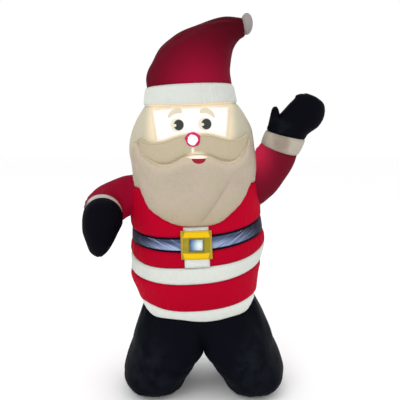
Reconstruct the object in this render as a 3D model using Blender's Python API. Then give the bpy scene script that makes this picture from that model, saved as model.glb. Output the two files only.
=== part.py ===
"""A waving Santa lawn inflatable, 1.2 m tall, modelled as the solids that its air-filled cloth encloses.

Every coloured piece of cloth is a piece of its own. The pieces of the coat, the belt, the head and
the hat's brim are slices of one column, which leans a little to the figure's right. The slices meet
along sewn seams. The sleeves, cuffs, mittens, legs and hat are lofts that start at the column, and
the beard, face, moustache, fur strips and buckle are patches sewn on its front.

Metres, +Z up. The figure faces -Y, and its own left is at +X. The origin is on the floor, in the
middle of the figure's bounding box.
"""

from math import asin, copysign, cos, degrees, pi, radians, sin

import bmesh
import bpy
from mathutils import Vector

# Where the middle of the bounding box lies, seen from the point under the column's lowest seam
MIDDLE_X = 0.00961
MIDDLE_Y = -0.01683

# The column's axis crosses its lowest seam here, and leans to the figure's right by this angle
SEAM_X = -0.003
SEAM_Z = 0.283
LEAN = 0.0436

# Room left between two pieces that meet face to face
GAP = 0.0003
# Room left between pieces whose facets differ
FACET_GAP = 0.0016

# The column: height above the lowest seam, half width, depth to the front and to the back, squareness,
# and how far it sags to the side
COLUMN = [
    (-0.060, 0.166, 0.132, 0.118, 2.5, -0.002),
    (-0.025, 0.171, 0.141, 0.126, 2.5, -0.002),
    (0.000, 0.177, 0.152, 0.135, 2.5, -0.002),
    (0.055, 0.191, 0.178, 0.155, 2.4, -0.003),
    (0.110, 0.205, 0.196, 0.168, 2.3, -0.008),
    (0.160, 0.211, 0.203, 0.175, 2.2, -0.002),
    (0.205, 0.216, 0.198, 0.176, 2.2, 0.005),
    (0.250, 0.210, 0.186, 0.172, 2.2, 0.005),
    (0.300, 0.2085, 0.183, 0.172, 2.2, 0.001),
    (0.350, 0.205, 0.180, 0.168, 2.2, 0.002),
    (0.410, 0.198, 0.178, 0.160, 2.2, 0.005),
    (0.460, 0.198, 0.178, 0.158, 2.15, 0.005),
    (0.510, 0.198, 0.177, 0.160, 2.1, -0.001),
    (0.560, 0.1905, 0.170, 0.157, 2.1, 0.0),
    (0.605, 0.170, 0.156, 0.149, 2.1, 0.0),
    (0.640, 0.147, 0.143, 0.138, 2.1, 0.0),
    (0.672, 0.138, 0.137, 0.133, 2.1, 0.0),
    (0.704, 0.134, 0.134, 0.130, 2.1, 0.0),
    (0.740, 0.131, 0.130, 0.126, 2.1, 0.0),
]
AROUND = 40

# The hem's seams: degrees round the column from its front, and height
HEM_BOTTOM = [
    (-180, 0.000),
    (-110, 0.006),
    (-78, 0.008),
    (-66, 0.002),
    (-56, -0.009),
    (-45, -0.0135),
    (-28, -0.012),
    (-12, -0.015),
    (2, -0.0235),
    (14, -0.0225),
    (30, -0.017),
    (48, -0.016),
    (62, -0.012),
    (72, 0.004),
    (82, 0.016),
    (110, 0.018),
    (180, 0.000),
]
HEM_TOP = [
    (-180, 0.024),
    (-110, 0.020),
    (-80, 0.023),
    (-62, 0.036),
    (-48, 0.034),
    (-30, 0.024),
    (-12, 0.019),
    (4, 0.020),
    (30, 0.028),
    (58, 0.037),
    (80, 0.033),
    (110, 0.030),
    (180, 0.024),
]
# The other seams: height at the column's sides, how much lower they run in front and behind, how
# squarely they drop, and their slope up to the figure's left
BAND_BOTTOM = (0.139, 0.023, 2.2, 0.025)
BAND_TOP = (0.199, 0.030, 4.5, 0.035)
BELT_BOTTOM = (0.234, 0.020, 2.1, 0.032)
BELT_TOP = (0.279, 0.0205, 3.1, 0.050)
NAPE = (0.400, 0.0, 2.0, 0.0)
BRIM_BOTTOM = (0.646, 0.007, 2.0, -0.012)
BRIM_TOP = (0.704, 0.0, 2.0, 0.0)

# The column's slices: name, lower seam, upper seam, swell between the seams, steps up, colour
SLICES = [
    ("coat_hem", HEM_BOTTOM, HEM_TOP, 0.003, 2, "fur"),
    ("coat_skirt", HEM_TOP, BAND_BOTTOM, 0.003, 4, "red"),
    ("coat_band", BAND_BOTTOM, BAND_TOP, 0.003, 2, "fur"),
    ("coat_waist", BAND_TOP, BELT_BOTTOM, 0.003, 2, "red"),
    ("belt", BELT_BOTTOM, BELT_TOP, 0.002, 2, "belt"),
    ("coat_chest", BELT_TOP, NAPE, 0.002, 4, "red"),
    ("head", NAPE, BRIM_BOTTOM, 0.002, 8, "hair"),
    ("hat_brim", BRIM_BOTTOM, BRIM_TOP, 0.006, 4, "fur"),
]
PATCH_SWELL = 0.003

# Trousers and boots: height, outer and inner edge of each leg, depth to the front and to the back
CROTCH_X = 0.012
CROTCH_Z = 0.159
LEGS = [
    (0.000, -0.212, -0.062, 0.094, 0.219, 0.110, 0.088),
    (0.008, -0.232, -0.055, 0.086, 0.245, 0.136, 0.104),
    (0.026, -0.246, -0.046, 0.076, 0.269, 0.164, 0.120),
    (0.050, -0.254, -0.036, 0.065, 0.280, 0.180, 0.129),
    (0.080, -0.250, -0.017, 0.043, 0.276, 0.186, 0.135),
    (0.120, -0.238, 0.003, 0.021, 0.262, 0.184, 0.140),
    (0.159, -0.224, 0.0115, 0.0125, 0.243, 0.178, 0.142),
]
LEG_STEPS = [0.142, 0.120, 0.098, 0.074, 0.050, 0.026, 0.008, 0.000]
HIP_STEPS = 5
HIP_PUFF = 1.35
LEG_SQUARENESS = 2.4
CROTCH_STEPS = 6
CROTCH_TURN = radians(48)  # how far round the inside of a leg the crotch seam opens
CROTCH_OPEN_Z = 0.108  # the legs are fully apart below this height
CROTCH_PULL_TURN = radians(17)  # how far round a leg the crotch seam starts to pull

# Arms: centre, heading from -X towards -Y, dip below level, half width to the side and upwards
LEFT_ARM = [
    (0, 0.100, 0.002, 0.672, 180, 0, 0.074, 0.080),
    (1, 0.162, 0.000, 0.676, 180, -8, 0.072, 0.079),
    (2, 0.2045, -0.004, 0.7065, 178, -22, 0.069, 0.073),
    (3, 0.2268, -0.012, 0.7412, 172, -42, 0.065, 0.066),
    (4, 0.2425, -0.022, 0.7684, 160, -58, 0.061, 0.061),
    (5, 0.2515, -0.030, 0.7915, 150, -70, 0.058, 0.059),
    (6, 0.2686, -0.045, 0.8365, 150, -76, 0.055, 0.0605),
    (6.4, 0.2735, -0.049, 0.849, 153, -79, 0.054, 0.0625),
    (7, 0.2960, -0.055, 0.868, 165, -82, 0.052, 0.0675),
    (8, 0.3160, -0.061, 0.898, 180, -86, 0.047, 0.0645),
    (9, 0.3250, -0.066, 0.927, 180, -90, 0.038, 0.054),
    (10, 0.3240, -0.068, 0.9465, 180, -90, 0.027, 0.0355),
    (11, 0.3170, -0.069, 0.9555, 180, -90, 0.015, 0.0245),
    (12, 0.3160, -0.069, 0.9590, 180, -90, 0.007, 0.0135),
]
LEFT_THUMB = [
    (0, 0.2425, -0.049, 0.845, 150, -76, 0.030, 0.0340),
    (1, 0.2355, -0.053, 0.868, 180, -88, 0.026, 0.0245),
    (2, 0.233, -0.056, 0.892, 180, -88, 0.020, 0.0165),
    (3, 0.232, -0.058, 0.914, 180, -88, 0.012, 0.0100),
    (4, 0.2315, -0.058, 0.922, 180, -88, 0.005, 0.0040),
]
RIGHT_ARM = [
    (0, -0.110, 0.000, 0.640, 0, 0, 0.068, 0.070),
    (1, -0.180, -0.002, 0.645, 0, 2, 0.066, 0.063),
    (2, -0.240, -0.010, 0.637, 16, 12, 0.065, 0.0625),
    (3, -0.285, -0.035, 0.616, 50, 18, 0.064, 0.064),
    (4, -0.302, -0.066, 0.605, 80, 18, 0.061, 0.061),
    (5, -0.301, -0.088, 0.600, 90, 18, 0.058, 0.059),
    (6, -0.294, -0.126, 0.593, 94, 20, 0.0575, 0.062),
    (7, -0.292, -0.151, 0.580, 94, 40, 0.0575, 0.059),
    (8, -0.2965, -0.164, 0.552, 94, 74, 0.050, 0.047),
    (9, -0.2995, -0.163, 0.520, 94, 92, 0.038, 0.038),
    (10, -0.304, -0.160, 0.494, 94, 92, 0.025, 0.026),
    (11, -0.305, -0.159, 0.481, 94, 92, 0.013, 0.015),
    (12, -0.305, -0.1585, 0.476, 94, 92, 0.006, 0.007),
]
SLEEVE = (0, 5)
CUFF = (5, 6)
MITTEN = (6, 12)
THUMB = (0, 4)
SLEEVE_STEPS = 8
CUFF_STEPS = 3
MITTEN_STEPS = 9
THUMB_STEPS = 6
LIMB_AROUND = 20
CUFF_SWELL = 0.004
# The sleeves are cut to the column's side between these heights
SHOULDER_BOTTOM = (0.27, 0.0, 2.0, 0.0)
SHOULDER_TOP = (0.62, 0.0, 2.0, 0.0)
SHOULDER_STEPS = 12

# Hat: left and right end of each ring, as seen from the front, and its half depth
HAT = [
    (0, -0.166, 1.020, 0.094, 1.030, 0.126),
    (1, -0.150, 1.060, 0.095, 1.065, 0.119),
    (2, -0.120, 1.106, 0.100, 1.094, 0.105),
    (3, -0.062, 1.149, 0.107, 1.113, 0.085),
    (4, 0.000, 1.1755, 0.117, 1.128, 0.063),
    (5, 0.070, 1.195, 0.125, 1.136, 0.043),
    (6, 0.1235, 1.193, 0.136, 1.1435, 0.024),
]
HAT_RINGS = 11
POMPOM_CENTRE = (0.1455, 0.0, 1.178)
POMPOM_RADII = (0.0195, 0.026, 0.033)
POMPOM_AROUND = 14
POMPOM_STEPS = 9

# Front patches, in degrees round the column from its front, and heights above its lowest seam
BEARD_SIDE = 60
BEARD_EDGE = [
    (-60, 0.424),
    (-47, 0.392),
    (-37, 0.348),
    (-27, 0.322),
    (-13, 0.296),
    (2, 0.289),
    (17, 0.296),
    (28, 0.322),
    (38, 0.350),
    (48, 0.392),
    (60, 0.424),
]
BEARD_TOP_AT_SIDE = 0.540
BEARD_BULGE = 0.024
MOUSTACHE_SIDE = 54
MOUSTACHE_MIDDLE = 3.5
MOUSTACHE_TOP = [(0, 0.552), (10, 0.553), (26, 0.538), (40, 0.537), (54, 0.552)]
MOUSTACHE_BOTTOM = [(0, 0.500), (8, 0.496), (21, 0.476), (32, 0.478), (43, 0.503), (54, 0.549)]
MOUSTACHE_BULGE = 0.018
FACE_MIDDLE = 0.0025
FACE_HALF_WIDTHS = (0.1005, 0.1135)
FACE_HEIGHTS = (0.540, 0.637)
FACE_BULGE = 0.004
PATCH_EDGE = 0.0015
PATCH_SQUARENESS = 4  # how flat a patch stays before it falls away to its edge
PATCH_FULLNESS = 0.45  # how steeply it rises from its edge
BEARD_CELLS = (24, 9)
MOUSTACHE_CELLS = (20, 5)
FACE_CELLS = (12, 4)
NOSE_MIDDLE = 0.0055
NOSE_HEIGHT = 0.540
NOSE_RADIUS = 0.0232
NOSE_DEPTH = 0.024
NOSE_RIM = 0.004  # depth of the nose's upright edge
NOSE_CLOSING = 0.88  # share of a quarter turn over which the nose rounds off
NOSE_HOLE = (-0.02, 0.05)  # how far the hole for the nose reaches, measured outwards
NOSE_STEPS = 5
NOSE_AROUND = 16
FRONT_MIDDLE = 0.003
STRIP_HALF_WIDTH = 0.036
STRIP_THICKNESS = 0.002
STRIP_CELLS = (6, 2)
BUCKLE_HEIGHT = 0.2365
BUCKLE_HALF = (0.0435, 0.0410)
BUCKLE_HOLE_HALF = (0.0185, 0.0165)
BUCKLE_SLOPE = -0.020  # slope up to the figure's left
BUCKLE_THICKNESS = 0.005
BUCKLE_CELLS = (6, 6)  # two on each bar and two across the hole

# Edges sharper than this are left crisp
CRISP_ANGLE = radians(50)

# Colour (red, green, blue) and roughness of each kind of cloth
CLOTHS = {
    "red": ((0.58, 0.005, 0.025), 0.75),
    "fur": ((0.74, 0.76, 0.72), 0.85),
    "belt": ((0.05, 0.09, 0.22), 0.55),
    "buckle": ((0.85, 0.60, 0.01), 0.6),
    "hair": ((0.52, 0.46, 0.35), 0.85),
    "tan": ((0.46, 0.40, 0.27), 0.85),
    "skin": ((0.95, 0.88, 0.76), 0.7),
    "nose": ((0.80, 0.08, 0.16), 0.6),
    "black": ((0.010, 0.011, 0.018), 0.7),
    "grey": ((0.40, 0.40, 0.40), 0.9),
}


def smooth(rows, key):
    """Read a table on a smooth curve: the first column is the key, and the others are returned."""
    last = len(rows) - 1
    i = 0
    while i < last - 1 and key > rows[i + 1][0]:
        i += 1
    step = rows[i + 1][0] - rows[i][0]
    t = min(max((key - rows[i][0]) / step, 0.0), 1.0)
    values = []
    for column in range(1, len(rows[0])):
        ends = rows[i][column], rows[i + 1][column]
        slopes = []
        for k in (i, i + 1):
            before = rows[max(k - 1, 0)]
            after = rows[min(k + 1, last)]
            slopes.append(step * (after[column] - before[column]) / (after[0] - before[0]))
        bend = (2 * t**3 - 3 * t**2 + 1) * ends[0] + (3 * t**2 - 2 * t**3) * ends[1]
        bend += (t**3 - 2 * t**2 + t) * slopes[0] + (t**3 - t**2) * slopes[1]
        values.append(bend)
    return values


def rounded(value, power):
    """Raise to a power and keep the sign."""
    return copysign(abs(value) ** power, value)


def leaned(x, y, height):
    """Carry a point of the upright column over to where it leans."""
    across = SEAM_X + x * cos(LEAN) - height * sin(LEAN)
    up = SEAM_Z + x * sin(LEAN) + height * cos(LEAN)
    return Vector((across, y, up))


def column_point(turn, height, out=0.0):
    """Point on the column's skin, turned from its front towards the figure's left."""
    half, front, back, squareness, sag = smooth(COLUMN, height)
    depth = front if cos(turn) > 0 else back
    x = sag + (half + out) * rounded(sin(turn), 2 / squareness)
    y = -(depth + out) * rounded(cos(turn), 2 / squareness)
    return leaned(x, y, height)


def turn_at(x, height):
    """Angle round the column at which its front reaches a given distance from the middle."""
    half, _, _, squareness, sag = smooth(COLUMN, height)
    return asin(rounded(min(max((x - sag) / half, -1.0), 1.0), squareness / 2))


def seam_height(seam, turn):
    """Height of a seam at an angle round the column."""
    if isinstance(seam, list):
        return smooth(seam, degrees((turn + pi) % (2 * pi) - pi))[0]
    level, drop, squareness, slope = seam
    half = smooth(COLUMN, level)[0]
    return level - drop * (1 - abs(sin(turn)) ** squareness) + slope * half * sin(turn)


def cloth(kind):
    """Material of one kind of cloth."""
    material = bpy.data.materials.get(kind)
    if material is None:
        colour, roughness = CLOTHS[kind]
        material = bpy.data.materials.new(kind)
        material.use_nodes = True
        shader = material.node_tree.nodes["Principled BSDF"]
        shader.inputs["Base Color"].default_value = (*colour, 1.0)
        shader.inputs["Roughness"].default_value = roughness
        material.diffuse_color = (*colour, 1.0)
    return material


def add_piece(name, points, faces, kind):
    """Make one closed piece from its points and faces, with the faces turned outwards."""
    mesh = bpy.data.meshes.new(name)
    mesh.from_pydata([tuple(point) for point in points], [], faces)
    work = bmesh.new()
    work.from_mesh(mesh)
    bmesh.ops.recalc_face_normals(work, faces=work.faces)
    work.to_mesh(mesh)
    work.free()
    mesh.shade_smooth()
    mesh.set_sharp_from_angle(angle=CRISP_ANGLE)
    mesh.materials.append(cloth(kind))
    piece = bpy.data.objects.new(name, mesh)
    piece.parent = figure
    bpy.context.scene.collection.objects.link(piece)
    return piece


def add_fan(points, faces, ring):
    """Close a ring by triangles that meet at its middle."""
    middle = sum((points[k] for k in ring), Vector()) / len(ring)
    for near, far in zip(ring, ring[1:] + ring[:1]):
        faces.append((near, far, len(points)))
    points.append(middle)


def loft(name, rings, kind):
    """Join rings of equal count by strips of quads, and close both ends by a fan."""
    count = len(rings[0])
    points = [point for ring in rings for point in ring]
    faces = []
    for level in range(len(rings) - 1):
        for k in range(count):
            near = level * count + k
            far = level * count + (k + 1) % count
            faces.append((near, far, far + count, near + count))
    for start in (0, (len(rings) - 1) * count):
        add_fan(points, faces, list(range(start, start + count)))
    return add_piece(name, points, faces, kind)


def column_ring(seam_low, seam_high, share, shift, out=0.0):
    """Ring of the column at a share of the way between two seams."""
    ring = []
    for k in range(AROUND):
        turn = 2 * pi * k / AROUND
        low = seam_height(seam_low, turn)
        high = seam_height(seam_high, turn)
        ring.append(column_point(turn, low + (high - low) * share + shift, out))
    return ring


def column_slice(name, seam_low, seam_high, swell, steps, kind):
    """Slice of the column between two seams, swelling out between them."""
    rings = []
    for step in range(steps + 1):
        share = step / steps
        shift = GAP / 2 * (1 - 2 * share)
        rings.append(column_ring(seam_low, seam_high, share, shift, swell * sin(pi * share)))
    return loft(name, rings, kind)


def patch(name, place, cells_across_up, base, bulge, kind, kept=None):
    """Pillow on the column's front.

    place gives the turn and height at a share of the way across and up, base is its back's distance
    from the column's skin, and bulge how far its middle stands out from its edge. kept says which of
    its cells are filled.
    """
    columns, rows = cells_across_up
    points = []
    for layer in range(2):
        for j in range(rows + 1):
            for i in range(columns + 1):
                across = i / columns
                up = j / rows
                turn, height = place(across, up)
                out = base
                if layer:
                    dome = 1 - abs(2 * across - 1) ** PATCH_SQUARENESS
                    dome *= 1 - abs(2 * up - 1) ** PATCH_SQUARENESS
                    out += PATCH_EDGE + bulge * max(dome, 0.0) ** PATCH_FULLNESS
                points.append(column_point(turn, height, out))
    cells = set()
    for j in range(rows):
        for i in range(columns):
            if kept is None or kept(i, j):
                cells.add((i, j))
    layer_size = (rows + 1) * (columns + 1)
    faces = []
    for i, j in cells:
        corners = [j * (columns + 1) + i, j * (columns + 1) + i + 1]
        corners += [(j + 1) * (columns + 1) + i + 1, (j + 1) * (columns + 1) + i]
        faces.append(tuple(corners))
        faces.append(tuple(corner + layer_size for corner in reversed(corners)))
        beside = [(i, j - 1), (i + 1, j), (i, j + 1), (i - 1, j)]
        for side, neighbour in enumerate(beside):
            if neighbour not in cells:
                start = corners[side]
                end = corners[(side + 1) % 4]
                faces.append((start, end, end + layer_size, start + layer_size))
    used = sorted({corner for face in faces for corner in face})
    renumbered = {corner: number for number, corner in enumerate(used)}
    points = [points[corner] for corner in used]
    faces = [tuple(renumbered[corner] for corner in face) for face in faces]
    return add_piece(name, points, faces, kind)


def limb_ring(station, out=0.0, shift=0.0):
    """Ring of a limb from its centre, heading, dip and half widths."""
    x, y, z, heading, dip, side, up = station
    heading = radians(heading)
    dip = radians(dip)
    forward = Vector((-cos(heading) * cos(dip), -sin(heading) * cos(dip), -sin(dip)))
    sideways = Vector((sin(heading), -cos(heading), 0.0))
    upwards = forward.cross(sideways)
    centre = Vector((x, y, z)) + forward * shift
    ring = []
    for k in range(LIMB_AROUND):
        turn = 2 * pi * k / LIMB_AROUND
        reach = sideways * (side + out) * sin(turn) + upwards * (up + out) * cos(turn)
        ring.append(centre + reach)
    return ring


def limb(name, stations, ends, steps, kind, swell=0.0):
    """Loft along part of a limb's stations, which leaves half a gap at each end."""
    rings = []
    for step in range(steps + 1):
        share = step / steps
        station = smooth(stations, ends[0] + (ends[1] - ends[0]) * share)
        shift = GAP / 2 * (1 - 2 * share)
        rings.append(limb_ring(station, swell * sin(pi * share), shift))
    return loft(name, rings, kind)


def apply_boolean(piece, operation, tool):
    """Cut or join a piece with a tool, which stays as a hidden guide."""
    tool.hide_render = True
    tool.display_type = "WIRE"
    modifier = piece.modifiers.new(operation.lower(), "BOOLEAN")
    modifier.operation = operation
    modifier.solver = "EXACT"
    modifier.object = tool


def make_column():
    """Coat, belt, head and brim."""
    for name, low, high, swell, steps, kind in SLICES:
        column_slice(name, low, high, swell, steps, kind)


def leg_ring(side, z):
    """Ring of one leg, from the front of the crotch round the outside and back under the crotch."""
    left_outer, left_inner, right_inner, right_outer, front, back = smooth(LEGS, z)
    outer, inner = (left_outer, left_inner) if side < 0 else (right_outer, right_inner)
    middle = (outer + inner) / 2
    half = abs(outer - inner) / 2
    turns = []
    for k in range(AROUND // 2 + 1):
        turns.append(-CROTCH_TURN + (pi + 2 * CROTCH_TURN) * k / (AROUND // 2))
    for k in range(1, CROTCH_STEPS):
        turns.append(pi + CROTCH_TURN + (pi - 2 * CROTCH_TURN) * k / CROTCH_STEPS)
    closing = max(0.0, (z - CROTCH_OPEN_Z) / (CROTCH_Z - CROTCH_OPEN_Z))
    pull_start = sin(CROTCH_PULL_TURN)
    ring = []
    for turn in turns:
        depth = front if cos(turn) > 0 else back
        x = middle + side * half * rounded(sin(turn), 2 / LEG_SQUARENESS)
        inward = (-sin(turn) - pull_start) / (sin(CROTCH_TURN) - pull_start)
        x += (CROTCH_X - x) * closing * min(max(inward, 0.0), 1.0)
        ring.append(Vector((x, -depth * rounded(cos(turn), 2 / LEG_SQUARENESS), z)))
    return ring


def crotch_ring():
    """Ring round both legs at the height where they part."""
    left = leg_ring(-1, CROTCH_Z)
    right = leg_ring(1, CROTCH_Z)
    half_way = AROUND // 2
    ring = [(left[0] + right[0]) / 2]
    ring += right[1:half_way]
    ring.append((left[half_way] + right[half_way]) / 2)
    ring += reversed(left[1:half_way])
    return ring


def make_trousers():
    """Hips that part into two legs, with flat soles on the floor."""
    points = []
    faces = []
    seam = column_ring(HEM_BOTTOM, HEM_BOTTOM, 0, -GAP / 2)
    parting = crotch_ring()
    for step in range(HIP_STEPS + 1):
        share = step / HIP_STEPS
        spread = 1 - (1 - share) ** HIP_PUFF
        for above, below in zip(seam, parting):
            point = above.lerp(below, spread)
            point.z = above.z + (below.z - above.z) * share
            points.append(point)
    for level in range(HIP_STEPS):
        for k in range(AROUND):
            near = level * AROUND + k
            far = level * AROUND + (k + 1) % AROUND
            faces.append((near, far, far + AROUND, near + AROUND))
    add_fan(points, faces, list(range(AROUND)))

    hip_start = HIP_STEPS * AROUND
    crotch = []
    for k in range(1, CROTCH_STEPS):
        crotch.append(len(points))
        back = parting[AROUND // 2]
        points.append(back.lerp(parting[0], k / CROTCH_STEPS))
    for side in (1, -1):
        outside = [hip_start + (side * k) % AROUND for k in range(AROUND // 2 + 1)]
        above = outside + crotch
        for z in LEG_STEPS:
            ring = leg_ring(side, z)
            below = list(range(len(points), len(points) + len(ring)))
            points.extend(ring)
            for k in range(len(ring)):
                after = (k + 1) % len(ring)
                faces.append((above[k], above[after], below[after], below[k]))
            above = below
        add_fan(points, faces, above)
    add_piece("trousers", points, faces, "black")


def make_arms():
    """Sleeves cut to the column's side, cuffs and mittens."""
    rings = []
    for step in range(SHOULDER_STEPS + 1):
        rings.append(column_ring(SHOULDER_BOTTOM, SHOULDER_TOP, step / SHOULDER_STEPS, 0.0, PATCH_SWELL))
    shoulders = loft("shoulder_cutter", rings, "grey")
    for side, stations in (("left", LEFT_ARM), ("right", RIGHT_ARM)):
        sleeve = limb(side + "_sleeve", stations, SLEEVE, SLEEVE_STEPS, "red")
        apply_boolean(sleeve, "DIFFERENCE", shoulders)
        limb(side + "_cuff", stations, CUFF, CUFF_STEPS, "fur", CUFF_SWELL)
        mitten = limb(side + "_mitten", stations, MITTEN, MITTEN_STEPS, "black")
        if side == "left":
            thumb = limb("thumb_guide", LEFT_THUMB, THUMB, THUMB_STEPS, "black")
            apply_boolean(mitten, "UNION", thumb)


def make_hat():
    """Hat that flops over to the figure's left, and its pompom, which is flat where it meets the hat."""
    rings = [column_ring(BRIM_TOP, BRIM_TOP, 0, GAP / 2)]
    for step in range(HAT_RINGS):
        key = (len(HAT) - 1) * step / (HAT_RINGS - 1)
        left_x, left_z, right_x, right_z, depth = smooth(HAT, key)
        middle = Vector(((left_x + right_x) / 2, 0.0, (left_z + right_z) / 2))
        half = Vector(((right_x - left_x) / 2, 0.0, (right_z - left_z) / 2))
        ring = []
        for k in range(AROUND):
            turn = 2 * pi * k / AROUND
            ring.append(middle + half * sin(turn) - Vector((0.0, depth * cos(turn), 0.0)))
        rings.append(ring)
    loft("hat", rings, "red")

    _, left_x, left_z, right_x, right_z, _ = HAT[-1]
    tip = Vector(((left_x + right_x) / 2, 0.0, (left_z + right_z) / 2))
    outwards = Vector((left_z - right_z, 0.0, right_x - left_x)).normalized()
    work = bmesh.new()
    bmesh.ops.create_uvsphere(work, u_segments=POMPOM_AROUND, v_segments=POMPOM_STEPS, radius=1.0)
    points = []
    for vertex in work.verts:
        reach = Vector(vertex.co[k] * POMPOM_RADII[k] for k in range(3))
        point = Vector(POMPOM_CENTRE) + reach
        room = (point - tip).dot(outwards) - FACET_GAP
        points.append(point - outwards * min(room, 0.0))
    faces = [tuple(vertex.index for vertex in face.verts) for face in work.faces]
    work.free()
    add_piece("pompom", points, faces, "grey")


def mirrored_edge(rows, angle):
    """Height of an edge that is the same on both sides of the moustache's middle, angle in degrees."""
    return smooth(rows, abs(angle - MOUSTACHE_MIDDLE))[0]


def make_face():
    """Face panel, beard, moustache and nose."""
    base = PATCH_SWELL + FACET_GAP

    def face_place(across, up):
        low, high = FACE_HEIGHTS
        edge = turn_at(FACE_MIDDLE + FACE_HALF_WIDTHS[0] * (2 * across - 1), low)
        low = mirrored_edge(MOUSTACHE_TOP, degrees(edge)) + 2 * FACET_GAP
        height = low + (high - low) * up
        half = FACE_HALF_WIDTHS[0] + (FACE_HALF_WIDTHS[1] - FACE_HALF_WIDTHS[0]) * up
        return turn_at(FACE_MIDDLE + half * (2 * across - 1), height), height

    def moustache_place(across, up):
        angle = MOUSTACHE_MIDDLE + MOUSTACHE_SIDE * (2 * across - 1)
        low = mirrored_edge(MOUSTACHE_BOTTOM, angle)
        high = mirrored_edge(MOUSTACHE_TOP, angle)
        return radians(angle), low + (high - low) * up

    def beard_place(across, up):
        angle = BEARD_SIDE * (2 * across - 1)
        low = smooth(BEARD_EDGE, angle)[0]
        high = BEARD_TOP_AT_SIDE
        if abs(angle - MOUSTACHE_MIDDLE) < MOUSTACHE_SIDE:
            high = min(high, mirrored_edge(MOUSTACHE_BOTTOM, angle) - 2 * FACET_GAP)
        return radians(angle), low + (high - low) * up

    patch("beard", beard_place, BEARD_CELLS, base, BEARD_BULGE, "hair")
    face = patch("face", face_place, FACE_CELLS, base, FACE_BULGE, "skin")
    moustache = patch("moustache", moustache_place, MOUSTACHE_CELLS, base, MOUSTACHE_BULGE, "tan")

    seat = column_point(turn_at(NOSE_MIDDLE, NOSE_HEIGHT), NOSE_HEIGHT, base)
    rings = []
    for step in range(NOSE_STEPS + 1):
        share = step / NOSE_STEPS
        radius = NOSE_RADIUS * cos(share * pi / 2 * NOSE_CLOSING)
        depth = NOSE_RIM + NOSE_DEPTH * sin(share * pi / 2)
        if step == 0:
            rings.append(nose_ring(seat, NOSE_RADIUS, 0.0))
        rings.append(nose_ring(seat, radius, depth))
    loft("nose", rings, "nose")
    hole = [nose_ring(seat, NOSE_RADIUS + FACET_GAP, depth) for depth in NOSE_HOLE]
    cutter = loft("nose_cutter", hole, "grey")
    apply_boolean(face, "DIFFERENCE", cutter)
    apply_boolean(moustache, "DIFFERENCE", cutter)


def nose_ring(seat, radius, depth):
    """Upright ring in front of the place where the nose sits."""
    ring = []
    for k in range(NOSE_AROUND):
        turn = 2 * pi * k / NOSE_AROUND
        ring.append(seat + Vector((radius * sin(turn), -depth, radius * cos(turn))))
    return ring


def make_front():
    """White strips down the front, and the buckle over the belt."""

    def strip_place(low, high):
        def place(across, up):
            height = low + (high - low) * up
            return turn_at(FRONT_MIDDLE + STRIP_HALF_WIDTH * (2 * across - 1), height), height

        return place

    base = PATCH_SWELL + FACET_GAP
    beard_point = min(height for _, height in BEARD_EDGE)
    top = strip_place(seam_height(BELT_TOP, 0) + FACET_GAP, beard_point - FACET_GAP)
    bottom = strip_place(seam_height(BAND_TOP, 0) + FACET_GAP, seam_height(BELT_BOTTOM, 0) - FACET_GAP)
    patch("placket_top", top, STRIP_CELLS, base, STRIP_THICKNESS, "fur")
    patch("placket_bottom", bottom, STRIP_CELLS, base, STRIP_THICKNESS, "fur")

    def bar_edge(share, side):
        """Distance of a cell edge of the frame from its middle."""
        hole = BUCKLE_HOLE_HALF[side]
        step = round(BUCKLE_CELLS[side] * share) - BUCKLE_CELLS[side] // 2
        if abs(step) <= 1:
            return step * hole
        return copysign(hole + (BUCKLE_HALF[side] - hole) * (abs(step) - 1) / 2, step)

    def buckle_place(across, up):
        x = bar_edge(across, 0)
        height = BUCKLE_HEIGHT + bar_edge(up, 1) + BUCKLE_SLOPE * x
        return turn_at(FRONT_MIDDLE + x, height), height

    def outside_hole(i, j):
        return not (2 <= i <= 3 and 2 <= j <= 3)

    behind = base + PATCH_EDGE + STRIP_THICKNESS + FACET_GAP
    patch("buckle", buckle_place, BUCKLE_CELLS, behind, BUCKLE_THICKNESS, "buckle", outside_hole)


for old in list(bpy.data.objects):
    bpy.data.objects.remove(old, do_unlink=True)

figure = bpy.data.objects.new("figure", None)
figure.location = (-MIDDLE_X, -MIDDLE_Y, 0.0)
bpy.context.scene.collection.objects.link(figure)

make_column()
make_trousers()
make_arms()
make_hat()
make_face()
make_front()
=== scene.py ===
"""Looks of a waving Santa lawn inflatable: sewn nylon that stands by the air in it, lit from inside.

Every piece of cloth is a fine closed mesh on the same surfaces as the model's solids. Cloth dives
into its seams and is gathered beside them, and between seams it swells and has soft folds.

Metres, +Z up. The figure faces -Y, and its own left is at +X. Shapes and prints are placed from the
point under the column's lowest seam, and shifted into the model's frame when a piece is made.
"""

from math import asin, ceil, copysign, cos, degrees, exp, pi, radians, sin

import bmesh
import bpy
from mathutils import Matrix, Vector, noise


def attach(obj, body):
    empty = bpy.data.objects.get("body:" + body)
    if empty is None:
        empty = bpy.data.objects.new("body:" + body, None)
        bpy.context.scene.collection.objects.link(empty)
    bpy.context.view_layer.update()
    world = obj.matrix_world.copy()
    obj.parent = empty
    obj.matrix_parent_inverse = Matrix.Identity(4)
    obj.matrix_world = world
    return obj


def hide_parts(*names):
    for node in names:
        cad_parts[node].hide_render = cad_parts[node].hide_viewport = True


# Where the middle of the bounding box lies, seen from the point under the column's lowest seam
MIDDLE_X = 0.00961
MIDDLE_Y = -0.01683

# The column's axis crosses its lowest seam here, and leans to the figure's right by this angle
SEAM_X = -0.003
SEAM_Z = 0.283
LEAN = 0.0436

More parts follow.
